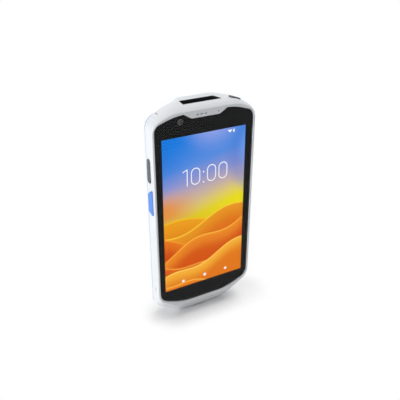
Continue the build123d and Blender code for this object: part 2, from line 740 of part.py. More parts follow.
LATCH_X = 16.5
LATCH_TONGUE_WIDTH = 5.2
LATCH_TONGUE_REACH = 1.2
LATCH_TRAVEL = 1.6
LATCH_CLEARANCE = 0.2
LATCH_PLATE_WIDTH = 9.0
LATCH_PLATE_LENGTH = 6.0
LATCH_PLATE_FRONT = BATTERY_FRONT + 1.8
LATCH_PLATE_THICKNESS = 1.4
LATCH_PAD_WIDTH = 8.0
LATCH_PAD_LENGTH = 5.0
LATCH_PAD_SINK = 0.2
LATCH_PLATE_HIGH = BATTERY_HIGH - 4.0

FOOT_LUG_X = 16.0
FOOT_LUG_WIDTH = 8.0
FOOT_LUG_REACH = 1.8
FOOT_LUG_FRONT = BATTERY_FRONT + 1.0
FOOT_LUG_THICKNESS = 1.8

CONTACT_BLOCK_WIDTH = 16.0
CONTACT_BLOCK_HEIGHT = 5.0
CONTACT_BLOCK_Z = BATTERY_LOW + 7.0
CONTACT_PITCH = 3.6
CONTACT_COUNT = 4

CARD_X = -13.0
CARD_Z = BATTERY_HIGH - 14.0
CARD_WIDTH = 14.0
CARD_HEIGHT = 15.0
CARD_THICKNESS = 1.6

REAR_PAD_Z = 16.5
REAR_PAD_WIDTH = 1.3
REAR_PAD_HEIGHT = 2.8
REAR_PAD_PITCH = 2.2
REAR_PAD_COUNT = 8


def battery_profile(grow):
    """Side profile of the battery on the YZ plane, its lower back edge round about the hinge."""
    radius = HINGE_RADIUS + grow
    front_y = BATTERY_FRONT
    with BuildSketch() as face:
        with BuildLine():
            Line((front_y, HINGE_Z - radius), (HINGE_Y, HINGE_Z - radius))
            RadiusArc((HINGE_Y, HINGE_Z - radius), (HINGE_Y + radius, HINGE_Z), -radius)
            Polyline(
                (HINGE_Y + radius, HINGE_Z),
                (HINGE_Y + radius + 1, HINGE_Z),
                (HINGE_Y + radius + 1, BATTERY_HIGH + grow),
                (front_y, BATTERY_HIGH + grow),
                (front_y, HINGE_Z - radius),
            )
        make_face()
    return face.sketch


with BuildPart() as well_block:
    with BuildSketch(front_plane(WELL_FLOOR_FRONT)):
        with Locations((0, BATTERY_LOW - BATTERY_GAP - WELL_WALL)):
            Rectangle(
                BATTERY_WIDTH + 2 * (BATTERY_GAP + WELL_WALL),
                BATTERY_LENGTH + 2 * BATTERY_GAP + WELL_WALL + WELL_TOP_WALL,
                align=(Align.CENTER, Align.MIN),
            )
    extrude(amount=WELL_FLOOR_FRONT - BACK)
    add(body.part, mode=Mode.INTERSECT)

with BuildPart() as battery_pocket:
    with BuildSketch(Plane.YZ):
        add(battery_profile(BATTERY_GAP))
    extrude(amount=BATTERY_WIDTH / 2 + BATTERY_GAP, both=True)
    with BuildSketch(front_plane(WELL_FLOOR_BACK)):
        with Locations((0, BATTERY_LOW - BATTERY_GAP)):
            Rectangle(
                BATTERY_WIDTH + 2 * BATTERY_GAP,
                BATTERY_LENGTH + 2 * BATTERY_GAP,
                align=(Align.CENTER, Align.MIN),
            )
    extrude(amount=WELL_FLOOR_BACK - BATTERY_FRONT)
    # sockets for the battery's two foot lugs, under the lip of the well
    with BuildSketch(front_plane(WELL_FLOOR_BACK)):
        with Locations((-FOOT_LUG_X, BATTERY_LOW), (FOOT_LUG_X, BATTERY_LOW)):
            Rectangle(
                FOOT_LUG_WIDTH + 2 * BATTERY_GAP,
                FOOT_LUG_REACH + BATTERY_GAP,
                align=(Align.CENTER, Align.MAX),
            )
    extrude(amount=WELL_FLOOR_BACK - FOOT_LUG_FRONT - FOOT_LUG_THICKNESS - BATTERY_GAP)
    # catches for the latch tongues, open to the back so that the tongues can drop in
    with BuildSketch(front_plane(LATCH_PLATE_FRONT - BATTERY_GAP)):
        with Locations((-LATCH_X, BATTERY_HIGH), (LATCH_X, BATTERY_HIGH)):
            Rectangle(
                LATCH_TONGUE_WIDTH + 2 * BATTERY_GAP,
                LATCH_TONGUE_REACH + BATTERY_GAP,
                align=(Align.CENTER, Align.MIN),
            )
    extrude(amount=LATCH_PLATE_FRONT - BATTERY_GAP - BACK - 1)

with BuildPart() as rear_housing:
    add(body.part)
    add(seal_region, mode=Mode.SUBTRACT)
    add(cavity.part, mode=Mode.SUBTRACT)
    add(well_block.part)
    # bosses for the housing screws
    with BuildSketch(front_plane(SEAM_SIDE + 0.1)):
        with Locations(SCREW_PLACES):
            Circle(BOSS_RADIUS)
    extrude(amount=SEAM_SIDE + 0.1 - SKIN_FRONT - 0.5)
    add(battery_pocket.part, mode=Mode.SUBTRACT)
    # windows in the floor of the well for the power contacts and the memory card holder
    with BuildSketch(front_plane(WELL_FLOOR_FRONT)):
        with Locations((0, CONTACT_BLOCK_Z)):
            Rectangle(CONTACT_BLOCK_WIDTH + 0.4, CONTACT_BLOCK_HEIGHT + 0.4)
        with Locations((CARD_X, CARD_Z)):
            Rectangle(CARD_WIDTH + 1.0, CARD_HEIGHT + 1.0)
    extrude(amount=-WELL_FLOOR, mode=Mode.SUBTRACT)
    # screw holes with sunk heads
    with BuildSketch(front_plane(BACK)):
        with Locations(SCREW_PLACES):
            Circle(SCREW_HEAD + 0.15)
    extrude(amount=SCREW_HEAD_HEIGHT + SCREW_SINK, mode=Mode.SUBTRACT)
    with BuildSketch(front_plane(BACK)):
        with Locations(SCREW_PLACES):
            Circle(SCREW_SHANK + 0.15)
    extrude(amount=BACK - SEAM_SIDE, mode=Mode.SUBTRACT)
    # rear camera and flash: a recess for each window and a hole through the skin
    with BuildSketch(front_plane(BACK)):
        with Locations((REAR_CAMERA_X, REAR_CAMERA_Z)):
            Circle(REAR_CAMERA_WINDOW + 0.1)
        with Locations((REAR_CAMERA_X, FLASH_Z)):
            Circle(FLASH_WINDOW + 0.1)
    extrude(amount=0.9, mode=Mode.SUBTRACT)
    with BuildSketch(front_plane(BACK)):
        with Locations((REAR_CAMERA_X, REAR_CAMERA_Z)):
            Circle(REAR_CAMERA_WINDOW - 1.2)
        with Locations((REAR_CAMERA_X, FLASH_Z)):
            Circle(FLASH_WINDOW - 0.6)
    extrude(amount=BACK_SKIN, mode=Mode.SUBTRACT)
    # loudspeaker grille
    with BuildSketch(front_plane(BACK)):
        with Locations((SPEAKER_X, SPEAKER_Z)):
            with GridLocations(1, 2.4, 1, 5):
                SlotOverall(11.0, 1.1)
    extrude(amount=BACK_SKIN, mode=Mode.SUBTRACT)
    # row of charging pads near the foot
    with BuildSketch(front_plane(BACK)):
        with Locations((0, REAR_PAD_Z)):
            with GridLocations(REAR_PAD_PITCH, 1, REAR_PAD_COUNT, 1):
                RectangleRounded(REAR_PAD_WIDTH + 0.1, REAR_PAD_HEIGHT + 0.1, 0.3)
    extrude(amount=BACK_SKIN, mode=Mode.SUBTRACT)
rear_housing.part.label = "rear_housing"
export_step(rear_housing.part, "parts/rear_housing.step")

# ---------------------------------------------------------------- battery

with BuildPart() as battery_cover:
    with BuildSketch(Plane.YZ):
        add(battery_profile(0))
    extrude(amount=BATTERY_WIDTH / 2, both=True)
    add(body.part, mode=Mode.INTERSECT)
    # hollow, open towards the device
    with BuildSketch(front_plane(BATTERY_FRONT)):
        with Locations((0, BATTERY_LOW + BATTERY_WALL)):
            Rectangle(
                BATTERY_WIDTH - 2 * BATTERY_WALL,
                BATTERY_LENGTH - 2 * BATTERY_WALL,
                align=(Align.CENTER, Align.MIN),
            )
    extrude(amount=BATTERY_WALL - BATTERY_DEPTH, mode=Mode.SUBTRACT)
    # windows for the latch pads and slots for their tongues
    with BuildSketch(front_plane(BACK)):
        with Locations((-LATCH_X, LATCH_PLATE_HIGH), (LATCH_X, LATCH_PLATE_HIGH)):
            Rectangle(
                LATCH_PAD_WIDTH + 2 * LATCH_CLEARANCE,
                LATCH_PAD_LENGTH + LATCH_TRAVEL + 2 * LATCH_CLEARANCE,
                align=(Align.CENTER, Align.MAX),
            )
    extrude(amount=BATTERY_WALL + 0.1, mode=Mode.SUBTRACT)
    with BuildSketch(Plane.XY.offset(BATTERY_HIGH - BATTERY_WALL - 0.5)):
        with Locations(
            (-LATCH_X, LATCH_PLATE_FRONT + LATCH_PLATE_THICKNESS / 2),
            (LATCH_X, LATCH_PLATE_FRONT + LATCH_PLATE_THICKNESS / 2),
        ):
            Rectangle(
                LATCH_TONGUE_WIDTH + 2 * LATCH_CLEARANCE,
                LATCH_PLATE_THICKNESS + 2 * LATCH_CLEARANCE,
            )
    extrude(amount=BATTERY_WALL + 1, mode=Mode.SUBTRACT)
    # foot lugs
    with BuildSketch(front_plane(FOOT_LUG_FRONT)):
        with Locations(
            (-FOOT_LUG_X, BATTERY_LOW - FOOT_LUG_REACH),
            (FOOT_LUG_X, BATTERY_LOW - FOOT_LUG_REACH),
        ):
            Rectangle(
                FOOT_LUG_WIDTH,
                FOOT_LUG_REACH + BATTERY_WALL / 2,
                align=(Align.CENTER, Align.MIN),
            )
    extrude(amount=-FOOT_LUG_THICKNESS)
battery_cover.part.label = "battery_cover"
export_step(battery_cover.part, "parts/battery_cover.step")

TRAY_THICKNESS = 0.8
CELL_LENGTH = BATTERY_LENGTH - 17.0
TERMINAL_WIDTH = 2.0
TERMINAL_HEIGHT = 3.6
TERMINAL_THICKNESS = 0.3

with BuildPart() as battery_tray:
    with BuildSketch(front_plane(BATTERY_FRONT)):
        with Locations((0, BATTERY_LOW + BATTERY_LENGTH / 2)):
            Rectangle(
                BATTERY_WIDTH - 2 * BATTERY_WALL,
                BATTERY_LENGTH - 2 * BATTERY_WALL,
            )
    extrude(amount=-TRAY_THICKNESS)
    with BuildSketch(front_plane(BATTERY_FRONT)):
        with Locations((0, CONTACT_BLOCK_Z)):
            with GridLocations(CONTACT_PITCH, 1, CONTACT_COUNT, 1):
                Rectangle(TERMINAL_WIDTH, TERMINAL_HEIGHT)
    extrude(amount=-TERMINAL_THICKNESS, mode=Mode.SUBTRACT)
battery_tray.part.label = "battery_tray"
export_step(battery_tray.part, "parts/battery_tray.step")

with BuildPart() as battery_terminals:
    with BuildSketch(front_plane(BATTERY_FRONT)):
        with Locations((0, CONTACT_BLOCK_Z)):
            with GridLocations(CONTACT_PITCH, 1, CONTACT_COUNT, 1):
                Rectangle(TERMINAL_WIDTH, TERMINAL_HEIGHT)
    extrude(amount=-TERMINAL_THICKNESS)
battery_terminals.part.label = "battery_terminals"
export_step(battery_terminals.part, "parts/battery_terminals.step")

with BuildPart() as battery_cell:
    with BuildSketch(front_plane(BATTERY_FRONT + TRAY_THICKNESS)):
        with Locations((0, BATTERY_LOW + BATTERY_WALL + 0.4)):
            Rectangle(
                BATTERY_WIDTH - 2 * BATTERY_WALL - 0.8,
                CELL_LENGTH,
                align=(Align.CENTER, Align.MIN),
            )
    extrude(amount=-(BATTERY_DEPTH - BATTERY_WALL - TRAY_THICKNESS - 0.2))
    fillet(battery_cell.edges().filter_by(Axis.Z), 1.2)
battery_cell.part.label = "battery_cell"
export_step(battery_cell.part, "parts/battery_cell.step")

for side, hand in ((-1, "left"), (1, "right")):
    with BuildPart() as battery_latch:
        # guide plate inside the cover, with its tongue through the end wall
        with BuildSketch(front_plane(LATCH_PLATE_FRONT)):
            with Locations((side * LATCH_X, LATCH_PLATE_HIGH)):
                Rectangle(
                    LATCH_PLATE_WIDTH,
                    LATCH_PLATE_LENGTH,
                    align=(Align.CENTER, Align.MAX),
                )
                Rectangle(
                    LATCH_TONGUE_WIDTH,
                    BATTERY_HIGH + LATCH_TONGUE_REACH - LATCH_PLATE_HIGH,
                    align=(Align.CENTER, Align.MIN),
                )
        extrude(amount=-LATCH_PLATE_THICKNESS)
        # thumb pad in its window
        with BuildSketch(front_plane(LATCH_PLATE_FRONT + LATCH_PLATE_THICKNESS)):
            with Locations((side * LATCH_X, LATCH_PLATE_HIGH - LATCH_CLEARANCE)):
                RectangleRounded(
                    LATCH_PAD_WIDTH,
                    LATCH_PAD_LENGTH,
                    0.6,
                    align=(Align.CENTER, Align.MAX),
                )
        extrude(amount=LATCH_PLATE_FRONT + LATCH_PLATE_THICKNESS - BACK + LATCH_PAD_SINK)
        with BuildSketch(front_plane(BACK - LATCH_PAD_SINK)):
            with Locations((side * LATCH_X, LATCH_PLATE_HIGH - LATCH_CLEARANCE - LATCH_PAD_LENGTH / 2)):
                with GridLocations(1, 1.1, 1, 4):
                    Rectangle(LATCH_PAD_WIDTH - 1.6, 0.45)
        extrude(amount=0.4, mode=Mode.SUBTRACT)
    battery_latch.part.label = f"battery_latch_{hand}"
    export_step(battery_latch.part, f"parts/battery_latch_{hand}.step")

# ---------------------------------------------------------------- keys and their boards

for side, hand in ((-1, "left"), (1, "right")):
    with BuildPart() as scan_button:
        with BuildSketch(Plane.YZ.offset(side * (KEY_FACE_X + KEY_RISE))):
            add(scan_key_outline(0))
        extrude(amount=-side * (KEY_RISE + KEY_SEAT + TAB_SLACK + TAB_THICKNESS))
        top_face = scan_button.faces().sort_by(Axis.X)[-1 if side > 0 else 0]
        fillet(top_face.edges(), 0.45)
        with BuildSketch(Plane.YZ.offset(side * (KEY_FACE_X - KEY_SEAT - TAB_SLACK))):
            add(tab_outline(KEY_Y, SCAN_TAB_Z, SCAN_TAB_LENGTH, 0))
        extrude(amount=-side * TAB_THICKNESS)
        with BuildSketch(Plane.YZ.offset(side * (KEY_FACE_X - KEY_SEAT))):
            with Locations((KEY_Y, SCAN_KEY_Z)):
                Circle(STEM_RADIUS)
        extrude(amount=-side * (KEY_BOARD_DEPTH - DOME_HEIGHT - KEY_TRAVEL - 0.05 - KEY_SEAT))
    scan_button.part.label = f"scan_button_{hand}"
    export_step(scan_button.part, f"parts/scan_button_{hand}.step")

with BuildPart() as programmable_button:
    with BuildSketch(Plane.YZ.offset(-KEY_FACE_X - KEY_RISE)):
        add(slot_key_outline(UPPER_KEY_LENGTH, 0))
    extrude(amount=KEY_RISE + KEY_SEAT + TAB_SLACK + TAB_THICKNESS)
    fillet(programmable_button.faces().sort_by(Axis.X)[0].edges(), 0.45)
    with BuildSketch(Plane.YZ.offset(-KEY_FACE_X + KEY_SEAT + TAB_SLACK)):
        add(tab_outline(UPPER_KEY_Y, UPPER_KEY_Z, UPPER_KEY_LENGTH, 0))
    extrude(amount=TAB_THICKNESS)
    with BuildSketch(Plane.YZ.offset(-KEY_FACE_X + KEY_SEAT)):
        with Locations((UPPER_KEY_Y, UPPER_KEY_Z)):
            Circle(STEM_RADIUS)
    extrude(amount=KEY_BOARD_DEPTH - DOME_HEIGHT - KEY_TRAVEL - 0.05 - KEY_SEAT)
programmable_button.part.label = "programmable_button"
export_step(programmable_button.part, "parts/programmable_button.step")

with BuildPart() as volume_rocker:
    with BuildSketch(Plane.YZ.offset(KEY_FACE_X + KEY_RISE)):
        add(slot_key_outline(ROCKER_LENGTH, 0))
    extrude(amount=-(KEY_RISE + ROCKER_TAB_DEPTH + TAB_THICKNESS))
    fillet(volume_rocker.faces().sort_by(Axis.X)[-1].edges(), 0.45)
    with BuildSketch(Plane.YZ.offset(KEY_FACE_X - ROCKER_TAB_DEPTH)):
        add(tab_outline(UPPER_KEY_Y, UPPER_KEY_Z, ROCKER_LENGTH, 0))
    extrude(amount=-TAB_THICKNESS)
    # rounded pivot bar across the middle, its axis along Y
    with BuildSketch(Plane.XZ.offset(-UPPER_KEY_Y)):
        with Locations((KEY_FACE_X - ROCKER_PIVOT_DEPTH, UPPER_KEY_Z)):
            Circle(ROCKER_PIVOT_RADIUS)
    extrude(amount=TAB_WIDTH / 2, both=True)
volume_rocker.part.label = "volume_rocker"
export_step(volume_rocker.part, "parts/volume_rocker.step")

POWER_TAB_DEPTH = KEY_SEAT + TAB_SLACK

with BuildPart() as power_button:
    with BuildSketch(power_plane.offset(KEY_RISE)):
        SlotOverall(POWER_LENGTH, POWER_WIDTH)
    extrude(amount=-(KEY_RISE + POWER_TAB_DEPTH + TAB_THICKNESS))
    power_axis = Axis(power_plane.origin, power_plane.z_dir)
    fillet(power_button.faces().sort_by(power_axis)[-1].edges(), 0.3)
    with BuildSketch(power_plane.offset(-POWER_TAB_DEPTH)):
        Rectangle(POWER_LENGTH + 2 * TAB_REACH, TAB_WIDTH)
    extrude(amount=-TAB_THICKNESS)
power_button.part.label = "power_button"
export_step(power_button.part, "parts/power_button.step")

for side, hand in ((-1, "left"), (1, "right")):
    with BuildPart() as key_board:
        with BuildSketch(Plane.YZ.offset(side * (KEY_FACE_X - KEY_BOARD_DEPTH))):
            with Locations((KEY_BOARD_Y, (KEY_BOARD_LOW + KEY_BOARD_HIGH) / 2)):
                Rectangle(KEY_BOARD_WIDTH, KEY_BOARD_HIGH - KEY_BOARD_LOW)
        extrude(amount=-side * KEY_BOARD_THICKNESS)
    key_board.part.label = f"key_board_{hand}"
    export_step(key_board.part, f"parts/key_board_{hand}.step")

with BuildPart() as power_switch_board:
    with BuildSketch(power_plane.offset(-KEY_BOARD_DEPTH)):
        Rectangle(POWER_BOARD_LENGTH, POWER_BOARD_WIDTH)
    extrude(amount=-KEY_BOARD_THICKNESS)
power_switch_board.part.label = "power_switch_board"
export_step(power_switch_board.part, "parts/power_switch_board.step")

# One snap dome under each key, two under the rocker.
DOME_OFFSET = ROCKER_LENGTH / 2 - 2.2
key_domes_at = [
    (-1, KEY_Y, SCAN_KEY_Z),
    (-1, UPPER_KEY_Y, UPPER_KEY_Z),
    (1, KEY_Y, SCAN_KEY_Z),
    (1, UPPER_KEY_Y, UPPER_KEY_Z - DOME_OFFSET),
    (1, UPPER_KEY_Y, UPPER_KEY_Z + DOME_OFFSET),
]
with BuildPart() as key_domes:
    for side, dome_y, dome_z in key_domes_at:
        with BuildSketch(Plane.YZ.offset(side * (KEY_FACE_X - KEY_BOARD_DEPTH))):
            with Locations((dome_y, dome_z)):
                Circle(DOME_RADIUS - 0.5)
        extrude(amount=side * DOME_HEIGHT)
    with BuildSketch(power_plane.offset(-KEY_BOARD_DEPTH)):
        Circle(DOME_RADIUS - 0.6)
    extrude(amount=DOME_HEIGHT)
key_domes.part.label = "key_domes"
export_step(key_domes.part, "parts/key_domes.step")

# ---------------------------------------------------------------- inner frame and boards

KEY_BAY_X = KEY_FACE_X - KEY_BOARD_DEPTH - KEY_BOARD_THICKNESS - 0.3
IMAGER_HALF = 11.0
IMAGER_LOW = BODY_LENGTH - 20.6
IMAGER_HIGH = BODY_LENGTH - 7.7
IMAGER_BACK = 1.9
FRONT_CAMERA_SIZE = 6.5
MIC_WIDTH = 3.2
MIC_HEIGHT = 2.6
MIC_THICKNESS = 0.7
POST_RADIUS = 1.7
POST_PLACES = [(-29.4, 34.0), (29.4, 34.0), (-29.4, 126.0), (29.4, 126.0)]
BOARD_SCREW_SHANK = 0.6
BOARD_SCREW_HEAD = 1.15
BOARD_SCREW_HEAD_HEIGHT = 0.6

with BuildPart() as mid_frame:
    with BuildSketch(front_plane(SHELF_BACK)):
        add(inner_outline(SHELF_BACK, 0.4))
        # bays for the side key boards
        for side in (-1, 1):
            with Locations((side * KEY_BAY_X, (KEY_BOARD_LOW + KEY_BOARD_HIGH) / 2)):
                Rectangle(
                    BEYOND,
                    KEY_BOARD_HIGH - KEY_BOARD_LOW + 1,
                    align=(Align.MIN if side > 0 else Align.MAX, Align.CENTER),
                    mode=Mode.SUBTRACT,
                )
        with Locations(LOW_SCREWS):
            Circle(BOSS_RADIUS + 0.3, mode=Mode.SUBTRACT)
        with Locations((RECEIVER_X, RECEIVER_CENTRE_Z)):
            Rectangle(RECEIVER_LENGTH + 0.4, RECEIVER_HEIGHT + 0.4, mode=Mode.SUBTRACT)
        with Locations((CAMERA_X, CAMERA_Z)):
            Rectangle(FRONT_CAMERA_SIZE + 0.4, FRONT_CAMERA_SIZE + 0.4, mode=Mode.SUBTRACT)
        with Locations((TOP_MIC_X, RECEIVER_Z)):
            Rectangle(MIC_WIDTH + 0.4, MIC_HEIGHT + 0.4, mode=Mode.SUBTRACT)
        # clear of the scan window's frame
        with Locations((WINDOW_X, WINDOW_BOSS_LOW - 0.2)):
            Rectangle(
                WINDOW_LENGTH + 2 * WINDOW_BOSS + 0.4,
                BEYOND,
                align=(Align.CENTER, Align.MIN),
                mode=Mode.SUBTRACT,
            )
        # slot for the display's ribbon
        with Locations((8.0, 26.0)):
            Rectangle(20.0, 2.4, mode=Mode.SUBTRACT)
    extrude(amount=-FRAME_THICKNESS)
    with BuildSketch(front_plane(FRAME_BACK)):
        with Locations(POST_PLACES):
            Circle(POST_RADIUS)
    extrude(amount=FRAME_BACK - BOARD_FRONT)
    with BuildSketch(front_plane(FRAME_BACK)):
        with Locations(HIGH_SCREWS):
            Circle(BOSS_RADIUS)
    extrude(amount=FRAME_BACK - SEAM_SIDE)
    with BuildSketch(front_plane(BOARD_FRONT)):
        with Locations(POST_PLACES):
            Circle(BOARD_SCREW_SHANK + 0.05)
    extrude(amount=BOARD_FRONT - FRAME_BACK, mode=Mode.SUBTRACT)
    with BuildSketch(front_plane(SEAM_SIDE)):
        with Locations(HIGH_SCREWS):
            Circle(SCREW_SHANK + 0.05)
    extrude(amount=SEAM_SIDE - FRAME_BACK, mode=Mode.SUBTRACT)
mid_frame.part.label = "mid_frame"
export_step(mid_frame.part, "parts/mid_frame.step")

with BuildPart() as main_board:
    with BuildSketch(front_plane(BOARD_FRONT)):
        add(inner_outline(BOARD_FRONT, 0.6))
        for side in (-1, 1):
            with Locations((side * KEY_BAY_X, (KEY_BOARD_LOW + KEY_BOARD_HIGH) / 2)):
                Rectangle(
                    BEYOND,
                    KEY_BOARD_HIGH - KEY_BOARD_LOW + 1,
                    align=(Align.MIN if side > 0 else Align.MAX, Align.CENTER),
                    mode=Mode.SUBTRACT,
                )
        # top edge: clear of the imager, the scan window's frame and the power switch
        with Locations((0, IMAGER_HIGH - 0.5)):
            Rectangle(
                TOP_WIDTH,
                BEYOND,
                align=(Align.CENTER, Align.MIN),
                mode=Mode.SUBTRACT,
            )
        with Locations((WINDOW_X, IMAGER_LOW - 0.5)):
            Rectangle(
                2 * IMAGER_HALF + 1,
                BEYOND,
                align=(Align.CENTER, Align.MIN),
                mode=Mode.SUBTRACT,
            )
        with Locations((POWER_X, power_plane.origin.Z)):
            Rectangle(POWER_BOARD_LENGTH + 6, 19.0, mode=Mode.SUBTRACT)
        with Locations(SCREW_PLACES):
            Circle(BOSS_RADIUS + 0.3, mode=Mode.SUBTRACT)
        with Locations(POST_PLACES):
            Circle(BOARD_SCREW_SHANK + 0.15, mode=Mode.SUBTRACT)
    extrude(amount=-BOARD_THICKNESS)
main_board.part.label = "main_board"
export_step(main_board.part, "parts/main_board.step")

FRONT_SHIELDS = [(6.0, 98.0, 28.0, 30.0), (-14.0, 60.0, 26.0, 40.0), (16.0, 55.0, 22.0, 30.0)]
BACK_SHIELDS = [(0.0, 70.0, 40.0, 24.0), (0.0, 45.0, 40.0, 20.0), (10.0, 113.0, 16.0, 11.0)]
FRONT_SHIELD_HEIGHT = 2.0
BACK_SHIELD_HEIGHT = 1.8

with BuildPart() as board_shields:
    for depth, height, shields in (
        (BOARD_FRONT, FRONT_SHIELD_HEIGHT, FRONT_SHIELDS),
        (BOARD_BACK, -BACK_SHIELD_HEIGHT, BACK_SHIELDS),
    ):
        for x, z, width, length in shields:
            with BuildSketch(front_plane(depth)):
                with Locations((x, z)):
                    RectangleRounded(width, length, 1.0)
            extrude(amount=height)
board_shields.part.label = "board_shields"
export_step(board_shields.part, "parts/board_shields.step")

with BuildPart() as board_screws:
    with BuildSketch(front_plane(BOARD_BACK)):
        with Locations(POST_PLACES):
            Circle(BOARD_SCREW_HEAD)
    extrude(amount=-BOARD_SCREW_HEAD_HEIGHT)
    with BuildSketch(front_plane(BOARD_BACK)):
        with Locations(POST_PLACES):
            Circle(BOARD_SCREW_SHANK)
    extrude(amount=BOARD_THICKNESS + 2.0)
board_screws.part.label = "board_screws"
export_step(board_screws.part, "parts/board_screws.step")

with BuildPart() as housing_screws:
    with BuildSketch(front_plane(BACK - SCREW_SINK)):
        with Locations(SCREW_PLACES):
            Circle(SCREW_HEAD)
    extrude(amount=SCREW_HEAD_HEIGHT)
    with BuildSketch(front_plane(BACK - SCREW_SINK - SCREW_HEAD_HEIGHT)):
        with Locations(SCREW_PLACES):
            Circle(SCREW_SHANK)
    extrude(amount=BACK - SCREW_SINK - SCREW_HEAD_HEIGHT - SEAM_SIDE + 4.0)
housing_screws.part.label = "housing_screws"
export_step(housing_screws.part, "parts/housing_screws.step")

# ---------------------------------------------------------------- barcode imager

with BuildPart() as scan_window:
    with BuildSketch(Plane.XY.offset(PANE_TOP)):
        with Locations((WINDOW_X, WINDOW_Y)):
            Rectangle(WINDOW_LENGTH, WINDOW_WIDTH)
    extrude(amount=-PANE_THICKNESS)
scan_window.part.label = "scan_window"
export_step(scan_window.part, "parts/scan_window.step")

with BuildPart() as window_hood:
    add(window_mouth(HOOD_GAP))
    add(window_mouth(HOOD_GAP + HOOD_WALL), mode=Mode.SUBTRACT)
    add(body.part.moved(Location((0, 0, -HOOD_SINK))), mode=Mode.INTERSECT)
window_hood.part.label = "window_hood"
export_step(window_hood.part, "parts/window_hood.step")

LENS_RADIUS = 2.6
LENS_X = WINDOW_X - 4.5
AIMER_RADIUS = 1.2
AIMER_XS = (WINDOW_X + 2.0, WINDOW_X + 6.0)

with BuildPart() as imager_engine:
    with BuildSketch(Plane.XY.offset(IMAGER_LOW)):
        with Locations((WINDOW_X, (FRAME_BACK + IMAGER_BACK) / 2)):
            Rectangle(2 * IMAGER_HALF, IMAGER_BACK - FRAME_BACK)
    extrude(amount=IMAGER_HIGH - IMAGER_LOW)
    with BuildSketch(Plane.XY.offset(IMAGER_HIGH)):
        with Locations((LENS_X, WINDOW_Y)):
            Circle(LENS_RADIUS - 0.3)
    extrude(amount=-1.2, mode=Mode.SUBTRACT)
imager_engine.part.label = "imager_engine"
export_step(imager_engine.part, "parts/imager_engine.step")

with BuildPart() as imager_lens:
    with BuildSketch(Plane.XY.offset(IMAGER_HIGH - 1.2)):
        with Locations((LENS_X, WINDOW_Y)):
            Circle(LENS_RADIUS - 0.3)
    extrude(amount=1.2)
    with BuildSketch(Plane.XY.offset(IMAGER_HIGH)):
        with Locations((LENS_X, WINDOW_Y)):
            Circle(LENS_RADIUS)
    extrude(amount=0.8)
imager_lens.part.label = "imager_lens"
export_step(imager_lens.part, "parts/imager_lens.step")

with BuildPart() as aiming_lights:
    with BuildSketch(Plane.XY.offset(IMAGER_HIGH)):
        with Locations(*[(x, WINDOW_Y) for x in AIMER_XS]):
            Circle(AIMER_RADIUS)
    extrude(amount=0.7)
aiming_lights.part.label = "aiming_lights"
export_step(aiming_lights.part, "parts/aiming_lights.step")

# ---------------------------------------------------------------- sound

with BuildPart() as receiver:
    with BuildSketch(front_plane(RECEIVER_FRONT)):
        with Locations((RECEIVER_X, RECEIVER_CENTRE_Z)):
            RectangleRounded(RECEIVER_LENGTH, RECEIVER_HEIGHT, 1.0)
    extrude(amount=-2.0)
receiver.part.label = "receiver"
export_step(receiver.part, "parts/receiver.step")

with BuildPart() as receiver_mesh:
    with BuildSketch(front_plane(RECEIVER_FRONT - MESH_THICKNESS)):
        with Locations((RECEIVER_X, RECEIVER_CENTRE_Z)):
            Rectangle(RECEIVER_LENGTH, RECEIVER_HEIGHT)
    extrude(amount=-MESH_THICKNESS)
receiver_mesh.part.label = "receiver_mesh"
export_step(receiver_mesh.part, "parts/receiver_mesh.step")

with BuildPart() as speaker_mesh:
    with BuildSketch(front_plane(SKIN_FRONT)):
        with Locations((SPEAKER_X, SPEAKER_Z)):
            Rectangle(12.6, 12.6)
    extrude(amount=MESH_THICKNESS)
speaker_mesh.part.label = "speaker_mesh"
export_step(speaker_mesh.part, "parts/speaker_mesh.step")

with BuildPart() as loudspeaker:
    with BuildSketch(front_plane(SKIN_FRONT - MESH_THICKNESS)):
        with Locations((SPEAKER_X, SPEAKER_Z)):
            RectangleRounded(SPEAKER_WIDTH, SPEAKER_HEIGHT, 1.5)
    extrude(amount=SPEAKER_DEPTH)
loudspeaker.part.label = "loudspeaker"
export_step(loudspeaker.part, "parts/loudspeaker.step")

with BuildPart() as microphones:
    with BuildSketch(front_plane(SHELF_BACK)):
        with Locations((TOP_MIC_X, RECEIVER_Z)):
            Rectangle(MIC_WIDTH, MIC_HEIGHT)
    extrude(amount=-MIC_THICKNESS)
    with BuildSketch(front_plane(BOARD_BACK)):
        with Locations((BOTTOM_MIC_X, 5.2)):
            Rectangle(MIC_WIDTH, MIC_HEIGHT)
    extrude(amount=-MIC_THICKNESS)
microphones.part.label = "microphones"
export_step(microphones.part, "parts/microphones.step")

with BuildPart() as vibration_motor:
    with BuildSketch(front_plane(FRAME_BACK)):
        with Locations((-24.0, 129.5)):
            Circle(4.0)
    extrude(amount=FRAME_BACK - BOARD_FRONT + 0.1)
vibration_motor.part.label = "vibration_motor"
export_step(vibration_motor.part, "parts/vibration_motor.step")

# ---------------------------------------------------------------- cameras and flash

CAMERA_BODY_DEPTH = 2.3
REAR_MODULE_SIZE = 8.6
REAR_MODULE_DEPTH = 4.6
WINDOW_THICKNESS = 0.7
WINDOW_RECESS = 0.9

with BuildPart() as front_camera:
    with BuildSketch(front_plane(SHELF_BACK)):
        with Locations((CAMERA_X, CAMERA_Z)):
            Rectangle(FRONT_CAMERA_SIZE, FRONT_CAMERA_SIZE)
    extrude(amount=-CAMERA_BODY_DEPTH)
    with BuildSketch(front_plane(SHELF_BACK)):
        with Locations((CAMERA_X, CAMERA_Z)):
            Circle(CAMERA_BARREL)
    extrude(amount=SHELF_THICKNESS)
front_camera.part.label = "front_camera"
export_step(front_camera.part, "parts/front_camera.step")

